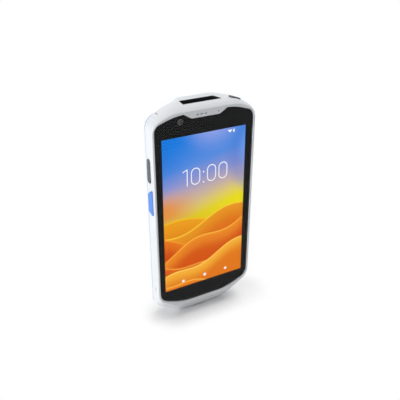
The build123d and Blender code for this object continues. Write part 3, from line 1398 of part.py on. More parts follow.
with BuildPart() as rear_camera:
    with BuildSketch(front_plane(SKIN_FRONT)):
        with Locations((REAR_CAMERA_X, REAR_CAMERA_Z)):
            RectangleRounded(REAR_MODULE_SIZE, REAR_MODULE_SIZE, 0.6)
    extrude(amount=REAR_MODULE_DEPTH)
    with BuildSketch(front_plane(SKIN_FRONT)):
        with Locations((REAR_CAMERA_X, REAR_CAMERA_Z)):
            Circle(REAR_CAMERA_WINDOW - 1.4)
    extrude(amount=-0.6)
rear_camera.part.label = "rear_camera"
export_step(rear_camera.part, "parts/rear_camera.step")

with BuildPart() as rear_camera_window:
    with BuildSketch(front_plane(BACK - WINDOW_RECESS)):
        with Locations((REAR_CAMERA_X, REAR_CAMERA_Z)):
            Circle(REAR_CAMERA_WINDOW)
    extrude(amount=-WINDOW_THICKNESS)
rear_camera_window.part.label = "rear_camera_window"
export_step(rear_camera_window.part, "parts/rear_camera_window.step")

with BuildPart() as flash_window:
    with BuildSketch(front_plane(BACK - WINDOW_RECESS)):
        with Locations((REAR_CAMERA_X, FLASH_Z)):
            Circle(FLASH_WINDOW)
    extrude(amount=-WINDOW_THICKNESS)
flash_window.part.label = "flash_window"
export_step(flash_window.part, "parts/flash_window.step")

with BuildPart() as flash_led:
    with BuildSketch(front_plane(SKIN_FRONT)):
        with Locations((REAR_CAMERA_X, FLASH_Z)):
            Rectangle(4.4, 4.4)
    extrude(amount=0.9)
flash_led.part.label = "flash_led"
export_step(flash_led.part, "parts/flash_led.step")

# ---------------------------------------------------------------- connectors and contacts

TONGUE_WIDTH = 6.7
TONGUE_HEIGHT = 0.7
TONGUE_LENGTH = 4.6

with BuildPart() as io_connector:
    with BuildSketch(Plane.XY.offset(CONNECTOR_SINK)):
        with Locations((0, CONNECTOR_Y)):
            SlotOverall(CONNECTOR_WIDTH, CONNECTOR_HEIGHT)
    extrude(amount=CONNECTOR_DEPTH)
    with BuildSketch(Plane.XY.offset(CONNECTOR_SINK)):
        with Locations((0, CONNECTOR_Y)):
            SlotOverall(CONNECTOR_WIDTH - 2 * CONNECTOR_WALL, CONNECTOR_HEIGHT - 2 * CONNECTOR_WALL)
    extrude(amount=CONNECTOR_DEPTH - 1.0, mode=Mode.SUBTRACT)
io_connector.part.label = "io_connector"
export_step(io_connector.part, "parts/io_connector.step")

with BuildPart() as io_contacts:
    with BuildSketch(Plane.XY.offset(CONNECTOR_SINK + CONNECTOR_DEPTH - 1.0)):
        with Locations((0, CONNECTOR_Y)):
            Rectangle(TONGUE_WIDTH, TONGUE_HEIGHT)
    extrude(amount=-TONGUE_LENGTH)
io_contacts.part.label = "io_contacts"
export_step(io_contacts.part, "parts/io_contacts.step")

with BuildPart() as battery_contact_block:
    with BuildSketch(front_plane(BOARD_BACK)):
        with Locations((0, CONTACT_BLOCK_Z)):
            Rectangle(CONTACT_BLOCK_WIDTH, CONTACT_BLOCK_HEIGHT)
    extrude(amount=BOARD_BACK - WELL_FLOOR_BACK + 0.3)
battery_contact_block.part.label = "battery_contact_block"
export_step(battery_contact_block.part, "parts/battery_contact_block.step")

with BuildPart() as battery_contact_fingers:
    with BuildSketch(front_plane(WELL_FLOOR_BACK - 0.3)):
        with Locations((0, CONTACT_BLOCK_Z)):
            with GridLocations(CONTACT_PITCH, 1, CONTACT_COUNT, 1):
                Rectangle(1.0, 2.6)
    extrude(amount=-0.4)
battery_contact_fingers.part.label = "battery_contact_fingers"
export_step(battery_contact_fingers.part, "parts/battery_contact_fingers.step")

with BuildPart() as rear_contacts:
    with BuildSketch(front_plane(BACK - 0.1)):
        with Locations((0, REAR_PAD_Z)):
            with GridLocations(REAR_PAD_PITCH, 1, REAR_PAD_COUNT, 1):
                Rectangle(REAR_PAD_WIDTH - 0.2, REAR_PAD_HEIGHT - 0.2)
    extrude(amount=BACK_SKIN - 0.1)
rear_contacts.part.label = "rear_contacts"
export_step(rear_contacts.part, "parts/rear_contacts.step")

with BuildPart() as rear_contact_board:
    with BuildSketch(front_plane(SKIN_FRONT)):
        with Locations((0, REAR_PAD_Z)):
            Rectangle(REAR_PAD_PITCH * REAR_PAD_COUNT + 2, 5.4)
    extrude(amount=0.8)
rear_contact_board.part.label = "rear_contact_board"
export_step(rear_contact_board.part, "parts/rear_contact_board.step")

with BuildPart() as memory_card_holder:
    with BuildSketch(front_plane(BOARD_BACK)):
        with Locations((CARD_X, CARD_Z)):
            Rectangle(CARD_WIDTH, CARD_HEIGHT)
    extrude(amount=-CARD_THICKNESS)
    # mouth that a card slides into
    with BuildSketch(Plane.XY.offset(CARD_Z + CARD_HEIGHT / 2)):
        with Locations((CARD_X, BOARD_BACK + CARD_THICKNESS / 2)):
            Rectangle(11.2, 0.9)
    extrude(amount=-CARD_HEIGHT + 1.5, mode=Mode.SUBTRACT)
memory_card_holder.part.label = "memory_card_holder"
export_step(memory_card_holder.part, "parts/memory_card_holder.step")
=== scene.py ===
import json
import math
import bmesh
import bpy
from mathutils import Matrix, Vector
from mathutils.geometry import delaunay_2d_cdt


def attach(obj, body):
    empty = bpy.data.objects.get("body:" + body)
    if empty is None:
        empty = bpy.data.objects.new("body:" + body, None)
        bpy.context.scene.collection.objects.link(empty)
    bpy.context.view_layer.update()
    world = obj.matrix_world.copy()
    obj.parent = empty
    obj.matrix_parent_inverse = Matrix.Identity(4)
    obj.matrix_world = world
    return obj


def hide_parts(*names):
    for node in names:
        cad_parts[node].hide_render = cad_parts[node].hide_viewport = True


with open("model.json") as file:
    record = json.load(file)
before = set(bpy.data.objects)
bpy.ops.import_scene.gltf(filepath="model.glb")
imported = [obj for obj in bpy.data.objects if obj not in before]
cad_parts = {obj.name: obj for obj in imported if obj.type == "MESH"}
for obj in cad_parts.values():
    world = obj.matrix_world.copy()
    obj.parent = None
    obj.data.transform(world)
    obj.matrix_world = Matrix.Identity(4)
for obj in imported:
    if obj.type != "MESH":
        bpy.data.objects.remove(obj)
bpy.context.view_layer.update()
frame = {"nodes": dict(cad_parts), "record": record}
nodes = frame["nodes"]
MM = 0.001


# ---------------------------------------------------------------- material helpers

def new_material(name):
    """A node material with its shader, returned as (material, tree, shader)."""
    material = bpy.data.materials.new(name)
    material.use_nodes = True
    tree = material.node_tree
    return material, tree, tree.nodes["Principled BSDF"]


def node(tree, kind, **settings):
    made = tree.nodes.new(kind)
    for key, value in settings.items():
        setattr(made, key, value)
    return made


def noise(tree, scale, detail=3.0):
    made = node(tree, "ShaderNodeTexNoise")
    made.inputs["Scale"].default_value = scale
    made.inputs["Detail"].default_value = detail
    made.inputs["Roughness"].default_value = 0.55
    place = node(tree, "ShaderNodeTexCoord")
    tree.links.new(place.outputs["Object"], made.inputs["Vector"])
    return made.outputs["Fac"]


def ramp(tree, value, stops):
    made = node(tree, "ShaderNodeValToRGB")
    elements = made.color_ramp.elements
    while len(elements) < len(stops):
        elements.new(0.5)
    for element, (place, colour) in zip(elements, stops):
        element.position = place
        element.color = (*colour, 1.0)
    tree.links.new(value, made.inputs["Fac"])
    return made.outputs["Color"]


def grey(level):
    return (level, level, level)


def srgb(red, green, blue):
    """A colour given as it shows on screen, 0 to 255."""
    def line(v):
        v /= 255
        return v / 12.92 if v <= 0.04045 else ((v + 0.055) / 1.055) ** 2.4
    return (line(red), line(green), line(blue))


def bump(tree, shader, height, strength, distance):
    relief = node(tree, "ShaderNodeBump")
    relief.inputs["Strength"].default_value = strength
    relief.inputs["Distance"].default_value = distance
    tree.links.new(height, relief.inputs["Height"])
    tree.links.new(relief.outputs["Normal"], shader.inputs["Normal"])


# Scales of noise in cells per metre, and depths of relief in metres.
TONE_SCALE = 60.0
GLOSS_SCALE = 240.0
SMEAR_SCALE = 70.0
GRAIN_DEPTH = 0.00004
WIRE_DEPTH = 0.00008
WIRE_PHASE = 9000.0  # radians per metre: a wire each 0.35 mm


def moulded(name, colour, dark, rough=(0.42, 0.55), grain=2600.0, relief=0.06, spec=0.4):
    """Moulded plastic or rubber: a fine spark-eroded grain and faint changes of tone."""
    material, tree, shader = new_material(name)
    tone = ramp(tree, noise(tree, TONE_SCALE, 4.0), [(0.35, dark), (0.65, colour)])
    tree.links.new(tone, shader.inputs["Base Color"])
    gloss = ramp(tree, noise(tree, GLOSS_SCALE), [(0.3, grey(rough[0])), (0.7, grey(rough[1]))])
    tree.links.new(gloss, shader.inputs["Roughness"])
    bump(tree, shader, noise(tree, grain, 2.0), relief, GRAIN_DEPTH)
    shader.inputs["Specular IOR Level"].default_value = spec
    return material


def metal(name, colour, dark, rough=(0.25, 0.4), grain=900.0):
    """Bare metal whose tone changes over five times the grain of its polish."""
    material, tree, shader = new_material(name)
    tone = ramp(tree, noise(tree, grain / 5, 4.0), [(0.3, dark), (0.7, colour)])
    tree.links.new(tone, shader.inputs["Base Color"])
    gloss = ramp(tree, noise(tree, grain), [(0.3, grey(rough[0])), (0.7, grey(rough[1]))])
    tree.links.new(gloss, shader.inputs["Roughness"])
    shader.inputs["Metallic"].default_value = 1.0
    return material


def glass(name, tint, ior=1.18):
    """Clear pane with a faint smear in its polish."""
    material, tree, shader = new_material(name)
    smear = ramp(tree, noise(tree, SMEAR_SCALE, 4.0), [(0.3, grey(0.0)), (0.8, grey(0.012))])
    tree.links.new(smear, shader.inputs["Roughness"])
    shader.inputs["Base Color"].default_value = (*tint, 1.0)
    shader.inputs["Transmission Weight"].default_value = 1.0
    shader.inputs["IOR"].default_value = ior
    return material


class Sums:
    """Arithmetic on a material's sockets, for patterns drawn by formula."""

    def __init__(self, tree):
        self.tree = tree

    def do(self, operation, *values):
        made = node(self.tree, "ShaderNodeMath", operation=operation)
        for socket, value in zip(made.inputs, values):
            if isinstance(value, (int, float)):
                socket.default_value = value
            else:
                self.tree.links.new(value, socket)
        return made.outputs["Value"]

    def add(self, a, b):
        return self.do("ADD", a, b)

    def sub(self, a, b):
        return self.do("SUBTRACT", a, b)

    def mul(self, a, b):
        return self.do("MULTIPLY", a, b)

    def least(self, first, *others):
        for other in others:
            first = self.do("MINIMUM", first, other)
        return first

    def most(self, first, *others):
        for other in others:
            first = self.do("MAXIMUM", first, other)
        return first

    def off(self, value, place):
        """How far the value is from a place, on either side."""
        return self.do("ABSOLUTE", self.sub(value, place))

    def hyp(self, a, b):
        return self.do("SQRT", self.add(self.mul(a, a), self.mul(b, b)))

    def step(self, value, low, high):
        """Smoothly 0 below low and 1 above high; low may be the larger."""
        made = node(self.tree, "ShaderNodeMapRange", interpolation_type="SMOOTHSTEP")
        flip = low > high
        made.inputs["From Min"].default_value = min(low, high)
        made.inputs["From Max"].default_value = max(low, high)
        made.inputs["To Min"].default_value = 1.0 if flip else 0.0
        made.inputs["To Max"].default_value = 0.0 if flip else 1.0
        self.tree.links.new(value, made.inputs["Value"])
        return made.outputs["Result"]

    def blend(self, share, low, high):
        made = node(self.tree, "ShaderNodeMix", data_type="RGBA")
        factor, first, second = made.inputs[0], made.inputs[6], made.inputs[7]
        for socket, value in ((factor, share), (first, low), (second, high)):
            if isinstance(value, (int, float)):
                socket.default_value = value
            elif isinstance(value, tuple):
                socket.default_value = (*value, 1.0)
            else:
                self.tree.links.new(value, socket)
        return made.outputs[2]

    def seen(self):
        """1 for what the camera sees, straight or by gloss or glass; 0 for what lights."""
        path = node(self.tree, "ShaderNodeLightPath")
        return self.most(*(path.outputs[f"Is {kind} Ray"]
                           for kind in ("Camera", "Glossy", "Transmission")))


def object_axes(tree):
    place = node(tree, "ShaderNodeTexCoord")
    split = node(tree, "ShaderNodeSeparateXYZ")
    tree.links.new(place.outputs["Object"], split.inputs["Vector"])
    return split.outputs["X"], split.outputs["Y"], split.outputs["Z"]


def woven_mesh(name, hole, thread):
    """Acoustic mesh: fine wires crossing over holes."""
    material, tree, shader = new_material(name)
    sums = Sums(tree)
    x, _, z = object_axes(tree)
    wire = sums.most(*(sums.do("ABSOLUTE", sums.do("SINE", sums.mul(axis, WIRE_PHASE)))
                       for axis in (x, z)))
    tone = ramp(tree, wire, [(0.55, grey(hole)), (0.9, grey(thread))])
    tree.links.new(tone, shader.inputs["Base Color"])
    bump(tree, shader, wire, 0.8, WIRE_DEPTH)
    shader.inputs["Roughness"].default_value = 0.5
    shader.inputs["Metallic"].default_value = 0.6
    return material


# ---------------------------------------------------------------- materials

white_shell = moulded("white_shell", (0.845, 0.868, 0.895), (0.825, 0.85, 0.88),
                      rough=(0.4, 0.5), relief=0.08, spec=0.35)
# seal band: its pale blue-grey is partly its own tint and partly painted shade for the edge
# turned away from the light
seal_shade_blue = moulded("seal_shade_blue", (0.42, 0.60, 0.86), (0.38, 0.56, 0.84),
                    rough=(0.6, 0.7), spec=0.25)
key_grey = moulded("key_grey", (0.115, 0.12, 0.13), (0.10, 0.105, 0.115), rough=(0.5, 0.6))
# grey of the slot plugs: painted shade for the inside of the accessory slots
slot_shade_grey = moulded("slot_shade_grey", (0.52, 0.54, 0.56), (0.47, 0.49, 0.51), rough=(0.6, 0.7))
key_blue = moulded("key_blue", (0.12, 0.30, 0.84), (0.10, 0.27, 0.81), rough=(0.42, 0.5))
black = moulded("black_plastic", (0.016, 0.017, 0.018), (0.010, 0.010, 0.011),
                rough=(0.45, 0.6))
hood_black = moulded("hood_black", (0.006, 0.006, 0.007), (0.004, 0.004, 0.005),
                     rough=(0.6, 0.7), spec=0.15)
barrel_grey = moulded("barrel_grey", (0.045, 0.048, 0.050), (0.034, 0.036, 0.038),
                      rough=(0.35, 0.5))
board_green = moulded("board_green", (0.02, 0.10, 0.06), (0.01, 0.06, 0.035),
                      rough=(0.3, 0.45), grain=900.0)
wrap = moulded("cell_wrap", (0.09, 0.10, 0.12), (0.06, 0.07, 0.08), rough=(0.25, 0.35))
steel = metal("bright_steel", (0.62, 0.63, 0.65), (0.50, 0.51, 0.53))
dark_steel = metal("screw_steel", (0.20, 0.20, 0.21), (0.13, 0.13, 0.14), rough=(0.3, 0.45))
cast = metal("cast_frame", (0.45, 0.46, 0.48), (0.36, 0.37, 0.39), rough=(0.45, 0.6))
gold = metal("gold_contact", (0.80, 0.60, 0.30), (0.76, 0.56, 0.27), rough=(0.34, 0.4))
flash_yellow = moulded("flash_yellow", (0.85, 0.72, 0.22), (0.75, 0.62, 0.15),
                       rough=(0.2, 0.3))
ink = moulded("printed_ink", (0.0014, 0.0018, 0.0022), (0.0010, 0.0013, 0.0016),
              relief=0.0, spec=0.1)
pane = glass("touch_pane", (0.97, 0.975, 0.98))
smoked = glass("smoked_pane", (0.03, 0.03, 0.035), ior=1.12)
clear = glass("clear_pane", (0.93, 0.94, 0.95), ior=1.2)
coated = glass("coated_lens", (0.22, 0.16, 0.34), ior=1.6)
mesh_black = woven_mesh("acoustic_mesh", 0.004, 0.05)
mesh_grey = woven_mesh("earpiece_mesh", 0.03, 0.22)

# ---------------------------------------------------------------- picture on the display

# The lit area in metres: half its width, the height of its lower edge, its height, and half
# the soft edge round it. Inside it, u runs from 0 at the left to 1, and v from 0 at the foot.
LIT_HALF = 0.0308
LIT_LOW = 0.0243
LIT_HEIGHT = 0.1103
LIT_EDGE = 0.00003
DISC_STRETCH = 1.78  # of v against u, to make the sky's discs round

# Bands of the sky: height as a share of the lit area, colour.
SKY_BANDS = (
    (0.30, (236, 170, 30)), (0.42, (228, 190, 10)), (0.50, (222, 200, 40)),
    (0.57, (216, 192, 120)), (0.65, (194, 172, 168)), (0.74, (142, 148, 206)),
    (0.84, (84, 138, 222)), (1.0, (30, 126, 222)))
SKY_TILT = -0.10
# Haze at the left: where it fades across, comes in and fades out upwards, share, colour.
HAZE_ACROSS = (0.50, 0.0)
HAZE_LOW = (0.44, 0.52)
HAZE_HIGH = (0.70, 0.56)
HAZE_SHARE = 0.85
HAZE = (232, 138, 44)
# Glow over the horizon at the right: its middle, how flat it lies, reach, share, colour.
GLOW_U, GLOW_V = 1.02, 0.47
GLOW_FLATNESS = 3.2
GLOW_REACH = 0.75
GLOW_SHARE = 0.85
GLOW = (238, 228, 4)

# Wide soft discs of light in the sky: centre across and up, size, soft rim, colour, share.
SKY_DISCS = (
    (0.60, 1.12, 0.50, 0.55, (206, 196, 240), 0.8),
    (1.22, 0.80, 0.50, 0.16, (70, 116, 208), 0.40),
    (1.30, 0.86, 0.44, 0.25, (120, 176, 252), 0.8),
    (-0.15, 0.98, 0.62, 0.5, (16, 118, 220), 0.8))

# Dunes from the far one to the near one: height of the crest, its slope, its swell, turns of
# the swell over the width, their shift, depth of the shading, colours of edge, face and shade.
DUNES = (
    (0.455, -0.02, 0.030, 0.75, 0.10, 0.16, (246, 196, 30), (236, 158, 24), (226, 130, 20)),
    (0.385, 0.10, 0.035, 0.90, 0.55, 0.14, (250, 214, 60), (232, 150, 30), (222, 112, 18)),
    (0.345, -0.16, 0.030, 0.80, 0.30, 0.13, (244, 168, 50), (230, 116, 20), (206, 74, 8)),
    (0.235, 0.17, 0.030, 1.10, 0.85, 0.13, (250, 190, 70), (236, 138, 34), (212, 84, 10)),
    (0.195, -0.14, 0.028, 1.00, 0.62, 0.11, (246, 176, 58), (224, 100, 16), (190, 58, 6)),
    (0.085, 0.15, 0.024, 1.20, 0.20, 0.12, (255, 214, 100), (246, 176, 52), (226, 118, 20)),
    (0.050, -0.11, 0.020, 1.30, 0.75, 0.09, (252, 190, 74), (236, 130, 26), (200, 74, 8)))
TURN = 6.283
CREST_EDGE = 0.014
CREST_SOFT = 0.0012

# The clock and the small marks, in metres across and up: each ring's straight sides reach
# RING_STRAIGHT above and below the middle, and the pair of dots stands DOTS_APART above and
# below its own. A navigation dot has its place and its radius.
CLOCK_Z = 0.1060
RINGS_X = (-0.0069, 0.0051, 0.0139)
RING_STRAIGHT = 0.0025
RING_RADIUS = 0.00312
ONE_X = -0.01315
ONE_HALF = 0.0057
FLAG_X = -0.01625
FLAG_Z = 0.11045
FLAG_RUN = 0.0031
FLAG_SLOPE = 0.42
DOTS_X = -0.00095
DOTS_Z = 0.1043
DOTS_APART = 0.0036
DOT_RADIUS = 0.00025
STROKE = (0.00036, 0.00026)  # off a stroke's middle, where it is gone and where it is full
NAVIGATION = ((-0.0169, 0.0288, 0.00105), (0.0003, 0.0288, 0.00115), (0.0174, 0.0287, 0.00105))
NAVIGATION_OUT, NAVIGATION_IN = 0.00025, 0.0002  # soft rim outside and inside the radius
NAVIGATION_SHARE = 0.86
BAR_X, BAR_Z, BAR_HALF_WIDTH, BAR_HALF_HEIGHT = 0.0218, 0.1322, 0.0005, 0.0010
WEDGE_X, WEDGE_LOW, WEDGE_TOP = 0.0188, 0.1312, 0.1331
MARK_SOFT = 0.0001
MARK_COLOUR = (252, 252, 255)
UNLIT = (0.0, 0.0, 0.0)


def sky_colour(sums, u, v):
    """Bands from the horizon up, haze at the left, a glow at the right, and discs of light."""
    tilt = sums.add(v, sums.mul(sums.sub(u, 0.5), SKY_TILT))
    sky = ramp(sums.tree, tilt, [(place, srgb(*rgb)) for place, rgb in SKY_BANDS])
    haze = sums.mul(sums.step(u, *HAZE_ACROSS),
                    sums.mul(sums.step(v, *HAZE_LOW), sums.step(v, *HAZE_HIGH)))
    sky = sums.blend(sums.mul(haze, HAZE_SHARE), sky, srgb(*HAZE))
    away = sums.hyp(sums.sub(u, GLOW_U), sums.mul(sums.sub(v, GLOW_V), GLOW_FLATNESS))
    sky = sums.blend(sums.mul(sums.step(away, GLOW_REACH, 0.0), GLOW_SHARE), sky, srgb(*GLOW))
    for centre_u, centre_v, size, soft, rgb, share in SKY_DISCS:
        away = sums.hyp(sums.sub(u, centre_u), sums.mul(sums.sub(v, centre_v), DISC_STRETCH))
        sky = sums.blend(sums.mul(sums.step(away, size, size - soft), share), sky, srgb(*rgb))
    return sky


def dunes_over(sums, colour, u, v):
    for height, slope, swell, turns, shift, depth, edge, face, shade in DUNES:
        wave = sums.do("SINE", sums.add(sums.mul(u, TURN * turns), TURN * shift))
        crest = sums.add(sums.add(sums.mul(u, slope), height), sums.mul(wave, swell))
        below = sums.sub(crest, v)
        body = sums.blend(sums.step(below, 0.0, depth), srgb(*face), srgb(*shade))
        body = sums.blend(sums.step(below, CREST_EDGE, 0.0), body, srgb(*edge))
        colour = sums.blend(sums.step(below, -CREST_SOFT, CREST_SOFT), colour, body)
    return colour


def white_marks(sums, x, z):
    """1 on the clock's thin figures, the navigation dots and two status marks."""
    # clock: a one, and three tall rings with a pair of dots between
    ring_x = sums.least(*(sums.off(x, place) for place in RINGS_X))
    up = sums.off(z, CLOCK_Z)
    beyond = sums.most(sums.sub(up, RING_STRAIGHT), 0.0)
    ring = sums.off(sums.hyp(ring_x, beyond), RING_RADIUS)
    stem = sums.hyp(sums.sub(x, ONE_X), sums.most(sums.sub(up, ONE_HALF), 0.0))
    flag_run = sums.least(sums.most(sums.sub(x, FLAG_X), 0.0), FLAG_RUN)
    flag = sums.hyp(sums.sub(sums.sub(x, FLAG_X), flag_run),
                    sums.sub(sums.sub(z, FLAG_Z), sums.mul(flag_run, FLAG_SLOPE)))
    dots = sums.sub(sums.hyp(sums.sub(x, DOTS_X), sums.off(sums.off(z, DOTS_Z), DOTS_APART)),
                    DOT_RADIUS)
    white = sums.step(sums.least(ring, stem, flag, dots), *STROKE)
    # navigation dots low down
    for place_x, place_z, radius in NAVIGATION:
        away = sums.hyp(sums.sub(x, place_x), sums.sub(z, place_z))
        dot = sums.step(away, radius + NAVIGATION_OUT, radius - NAVIGATION_IN)
        white = sums.most(white, sums.mul(dot, NAVIGATION_SHARE))
    # status marks at the top right: an upright bar, and a wedge that stands on its point
    bar = sums.most(sums.sub(sums.off(x, BAR_X), BAR_HALF_WIDTH),
                    sums.sub(sums.off(z, BAR_Z), BAR_HALF_HEIGHT))
    wedge = sums.most(sums.sub(z, WEDGE_TOP),
                      sums.sub(sums.off(x, WEDGE_X), sums.sub(z, WEDGE_LOW)))
    return sums.most(white, sums.step(sums.least(bar, wedge), MARK_SOFT, -MARK_SOFT))


def screen_picture():
    """Own picture of a plain dusk sky over soft dunes, with a clock and three dots."""
    material, tree, shader = new_material("lit_display")
    sums = Sums(tree)
    x, _, z = object_axes(tree)
    u = sums.mul(sums.add(x, LIT_HALF), 0.5 / LIT_HALF)
    v = sums.mul(sums.sub(z, LIT_LOW), 1 / LIT_HEIGHT)
    colour = dunes_over(sums, sky_colour(sums, u, v), u, v)
    colour = sums.blend(white_marks(sums, x, z), colour, srgb(*MARK_COLOUR))
    # unlit border round the picture
    inside_x = sums.step(sums.do("ABSOLUTE", x), LIT_HALF + LIT_EDGE, LIT_HALF - LIT_EDGE)
    inside_z = sums.step(sums.off(z, LIT_LOW + LIT_HEIGHT / 2),
                         LIT_HEIGHT / 2 + LIT_EDGE, LIT_HEIGHT / 2 - LIT_EDGE)
    colour = sums.blend(sums.mul(inside_x, inside_z), UNLIT, colour)
    tree.links.new(colour, shader.inputs["Emission Color"])
    shader.inputs["Emission Strength"].default_value = 1.0
    shader.inputs["Base Color"].default_value = (0.004, 0.004, 0.005, 1.0)
    shader.inputs["Roughness"].default_value = 0.35
    shader.inputs["Specular IOR Level"].default_value = 0.1
    return material


# ---------------------------------------------------------------- looks of the CAD nodes

by_slot = {
    "white_shell": white_shell, "pale_blue_seal": seal_shade_blue, "dark_glass": coated,
    "clear_glass": clear, "display": screen_picture(), "black_plastic": black,
    "grey_key": key_grey, "blue_key": key_blue, "circuit_board": board_green,
    "bright_steel": steel, "screw_steel": dark_steel, "cast_frame": cast, "cell_wrap": wrap,
    "gold_contact": gold, "mesh": mesh_black, "flash_yellow": flash_yellow,
}
by_node = {"touch_glass": pane, "scan_window": smoked, "rear_camera_window": clear,
           "receiver_mesh": mesh_grey, "window_hood": hood_black, "imager_engine": hood_black}
slots = {entry["node"]: entry["material_slot"] for entry in frame["record"]["subparts"]}
for name, part in nodes.items():
    part.data.materials.clear()
    part.data.materials.append(by_node.get(name, by_slot[slots[name]]))

# ---------------------------------------------------------------- piece helpers


def placed(name, data):
    """A new object in the scene."""
    made = bpy.data.objects.new(name, data)
    bpy.context.scene.collection.objects.link(made)
    return made


def piece(name, vertices, faces, material, body, slot, smooth=False):
    """A mesh in millimetres that rides on a body."""
    mesh = bpy.data.meshes.new(name)
    mesh.from_pydata([tuple(c * MM for c in v) for v in vertices], [], faces)
    mesh.validate()
    if smooth:
        mesh.shade_smooth()
    mesh.materials.append(material)
    made = placed(name, mesh)
    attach(made, body)
    return made


ON_FACE = 0.01  # a corner this near to a face's depth lies on it


def rim_of(part, depth):
    """Corners, in order and in millimetres, of a node's outline at one of its flat faces."""
    mesh = part.data
    points = [part.matrix_world @ v.co / MM for v in mesh.vertices]
    uses = {}
    for face in mesh.polygons:
        if all(abs(points[i].y - depth) < ON_FACE for i in face.vertices):
            for key in face.edge_keys:
                ends = tuple(sorted((round(points[i].x, 3), round(points[i].z, 3)) for i in key))
                uses[ends] = uses.get(ends, 0) + 1
    beside = {}
    for (a, b), count in uses.items():
        if count == 1 and a != b:
            beside.setdefault(a, []).append(b)
            beside.setdefault(b, []).append(a)
    start = next(iter(beside))
    loop, last = [start], None
    while True:
        nexts = [p for p in beside[loop[-1]] if p != last]
        last = loop[-1]
        if not nexts or nexts[0] == start:
            return loop
        loop.append(nexts[0])


def inset(loop, amount):
    """The loop moved inwards."""
    area = sum(a[0] * b[1] - b[0] * a[1] for a, b in zip(loop, loop[1:] + loop[:1]))
    side = 1 if area > 0 else -1
    made = []
    for i, (x, z) in enumerate(loop):
        a, b = Vector(loop[i - 1]), Vector(loop[(i + 1) % len(loop)])
        run = (b - a).normalized()
        made.append((x - side * run.y * amount, z + side * run.x * amount))
    return made


def within(point, loop):
    inside = False
    for (ax, az), (bx, bz) in zip(loop, loop[1:] + loop[:1]):
        if (az > point[1]) != (bz > point[1]):
            if point[0] < (bx - ax) * (point[1] - az) / (bz - az) + ax:
                inside = not inside
    return inside


def circle(x, z, radius, count=40):
    return [(x + radius * math.cos(2 * math.pi * i / count),
             z + radius * math.sin(2 * math.pi * i / count)) for i in range(count)]


def sheet_with_holes(name, outer, holes, depth, material, body, slot, thick=0.02):
    """Thin flat sheet across the depth, with holes through it."""
    corners, edges = [], []
    for loop in [outer] + holes:
        first = len(corners)
        corners += [Vector(p) for p in loop]
        edges += [(first + i, first + (i + 1) % len(loop)) for i in range(len(loop))]
    points, _, faces, *_ = delaunay_2d_cdt(corners, edges, [], 0, 1e-5)
    kept = []
    for face in faces:
        middle = sum((points[i] for i in face), Vector((0, 0))) / len(face)
        if within(middle, outer) and not any(within(middle, hole) for hole in holes):
            kept.append(tuple(face))
    count = len(points)
    ways = [way for face in kept for way in zip(face, face[1:] + face[:1])]
    both_ways = set(ways)
    walls = [(b, a, a + count, b + count) for a, b in ways if (b, a) not in both_ways]
    backs = [tuple(i + count for i in reversed(face)) for face in kept]
    vertices = [(p.x, depth + rise, p.y) for rise in (0, thick) for p in points]
    return piece(name, vertices, kept + backs + walls, material, body, slot)


def joined(*shapes):
    """Several (vertices, faces) pairs as one."""
    vertices, faces = [], []
    for points, sides in shapes:
        first = len(vertices)
        vertices += points
        faces += [tuple(first + i for i in side) for side in sides]
    return vertices, faces


def bands(count, rings):
    """Faces between rings of count corners each, and the two that close the ends."""
    last = (rings - 1) * count
    sides = [(r * count + i, r * count + (i + 1) % count,
              (r + 1) * count + (i + 1) % count, (r + 1) * count + i)
             for r in range(rings - 1) for i in range(count)]
    return sides + [tuple(range(count - 1, -1, -1)), tuple(last + i for i in range(count))]


def turned(x, z, rings, count=48, lobes=0):
    """Closed round shape about a line along Y through (x, z), from rings of
    (radius, depth) or (radius, depth, height of its lobes)."""
    vertices = []
    for radius, depth, *lobe in rings:
        for i in range(count):
            angle = 2 * math.pi * i / count
            reach = radius + (lobe[0] * math.cos(lobes * angle) if lobe else 0)
            vertices.append((x + reach * math.cos(angle), depth, z + reach * math.sin(angle)))
    return vertices, bands(count, len(rings))


def block(low, high, chamfer):
    """Box whose twelve edges are chamfered, between two corners."""
    corners = []
    for sx in (0, 1):
        for sy in (0, 1):
            for sz in (0, 1):
                at = [(low, high)[side][axis] for axis, side in enumerate((sx, sy, sz))]
                inward = [(chamfer, -chamfer)[side] for side in (sx, sy, sz)]
                for axis in range(3):
                    corners.append(tuple(
                        at[k] if k == axis else at[k] + inward[k] for k in range(3)))
    shape = bmesh.new()
    bmesh.ops.convex_hull(shape, input=[shape.verts.new(c) for c in corners])
    shape.verts.index_update()
    made = ([tuple(v.co) for v in shape.verts],
            [tuple(v.index for v in f.verts) for f in shape.faces])
    shape.free()
    return made


# the plugs below are grey only to paint shade into the slots
PLUG_LENGTH = 3.36
PLUG_WIDTH = 0.96
PLUG_DEEP = 0.6
PLUG_SHALLOW = 0.1
PLUG_CHAMFER = 0.06
PLUG_TOP = 0.88  # size of the plug's top face, as a share of its section


def slot_shade_plug(origin, along, across, out):
    """Plug with rounded ends for an accessory slot, a little below the surface at origin; its
    grey paints the slot's shade.
    """
    origin, along, across, out = (Vector(v) for v in (origin, along, across, out))
    radius, count = PLUG_WIDTH / 2, 12
    straight = PLUG_LENGTH / 2 - radius
    outline = []
    for side in (1, -1):
        for i in range(count + 1):
            angle = math.pi * i / count - math.pi / 2
            outline.append((side * straight, side * radius * math.cos(angle),
                            side * radius * math.sin(angle)))
    vertices = []
    for scale, depth in ((1.0, PLUG_DEEP), (1.0, PLUG_SHALLOW + PLUG_CHAMFER),
                         (PLUG_TOP, PLUG_SHALLOW)):
        for core, a, b in outline:
            vertices.append(tuple(origin + along * (core + a * scale) + across * (b * scale)
                                  - out * depth))
    return vertices, bands(len(outline), 3)


# ---------------------------------------------------------------- places, in millimetres

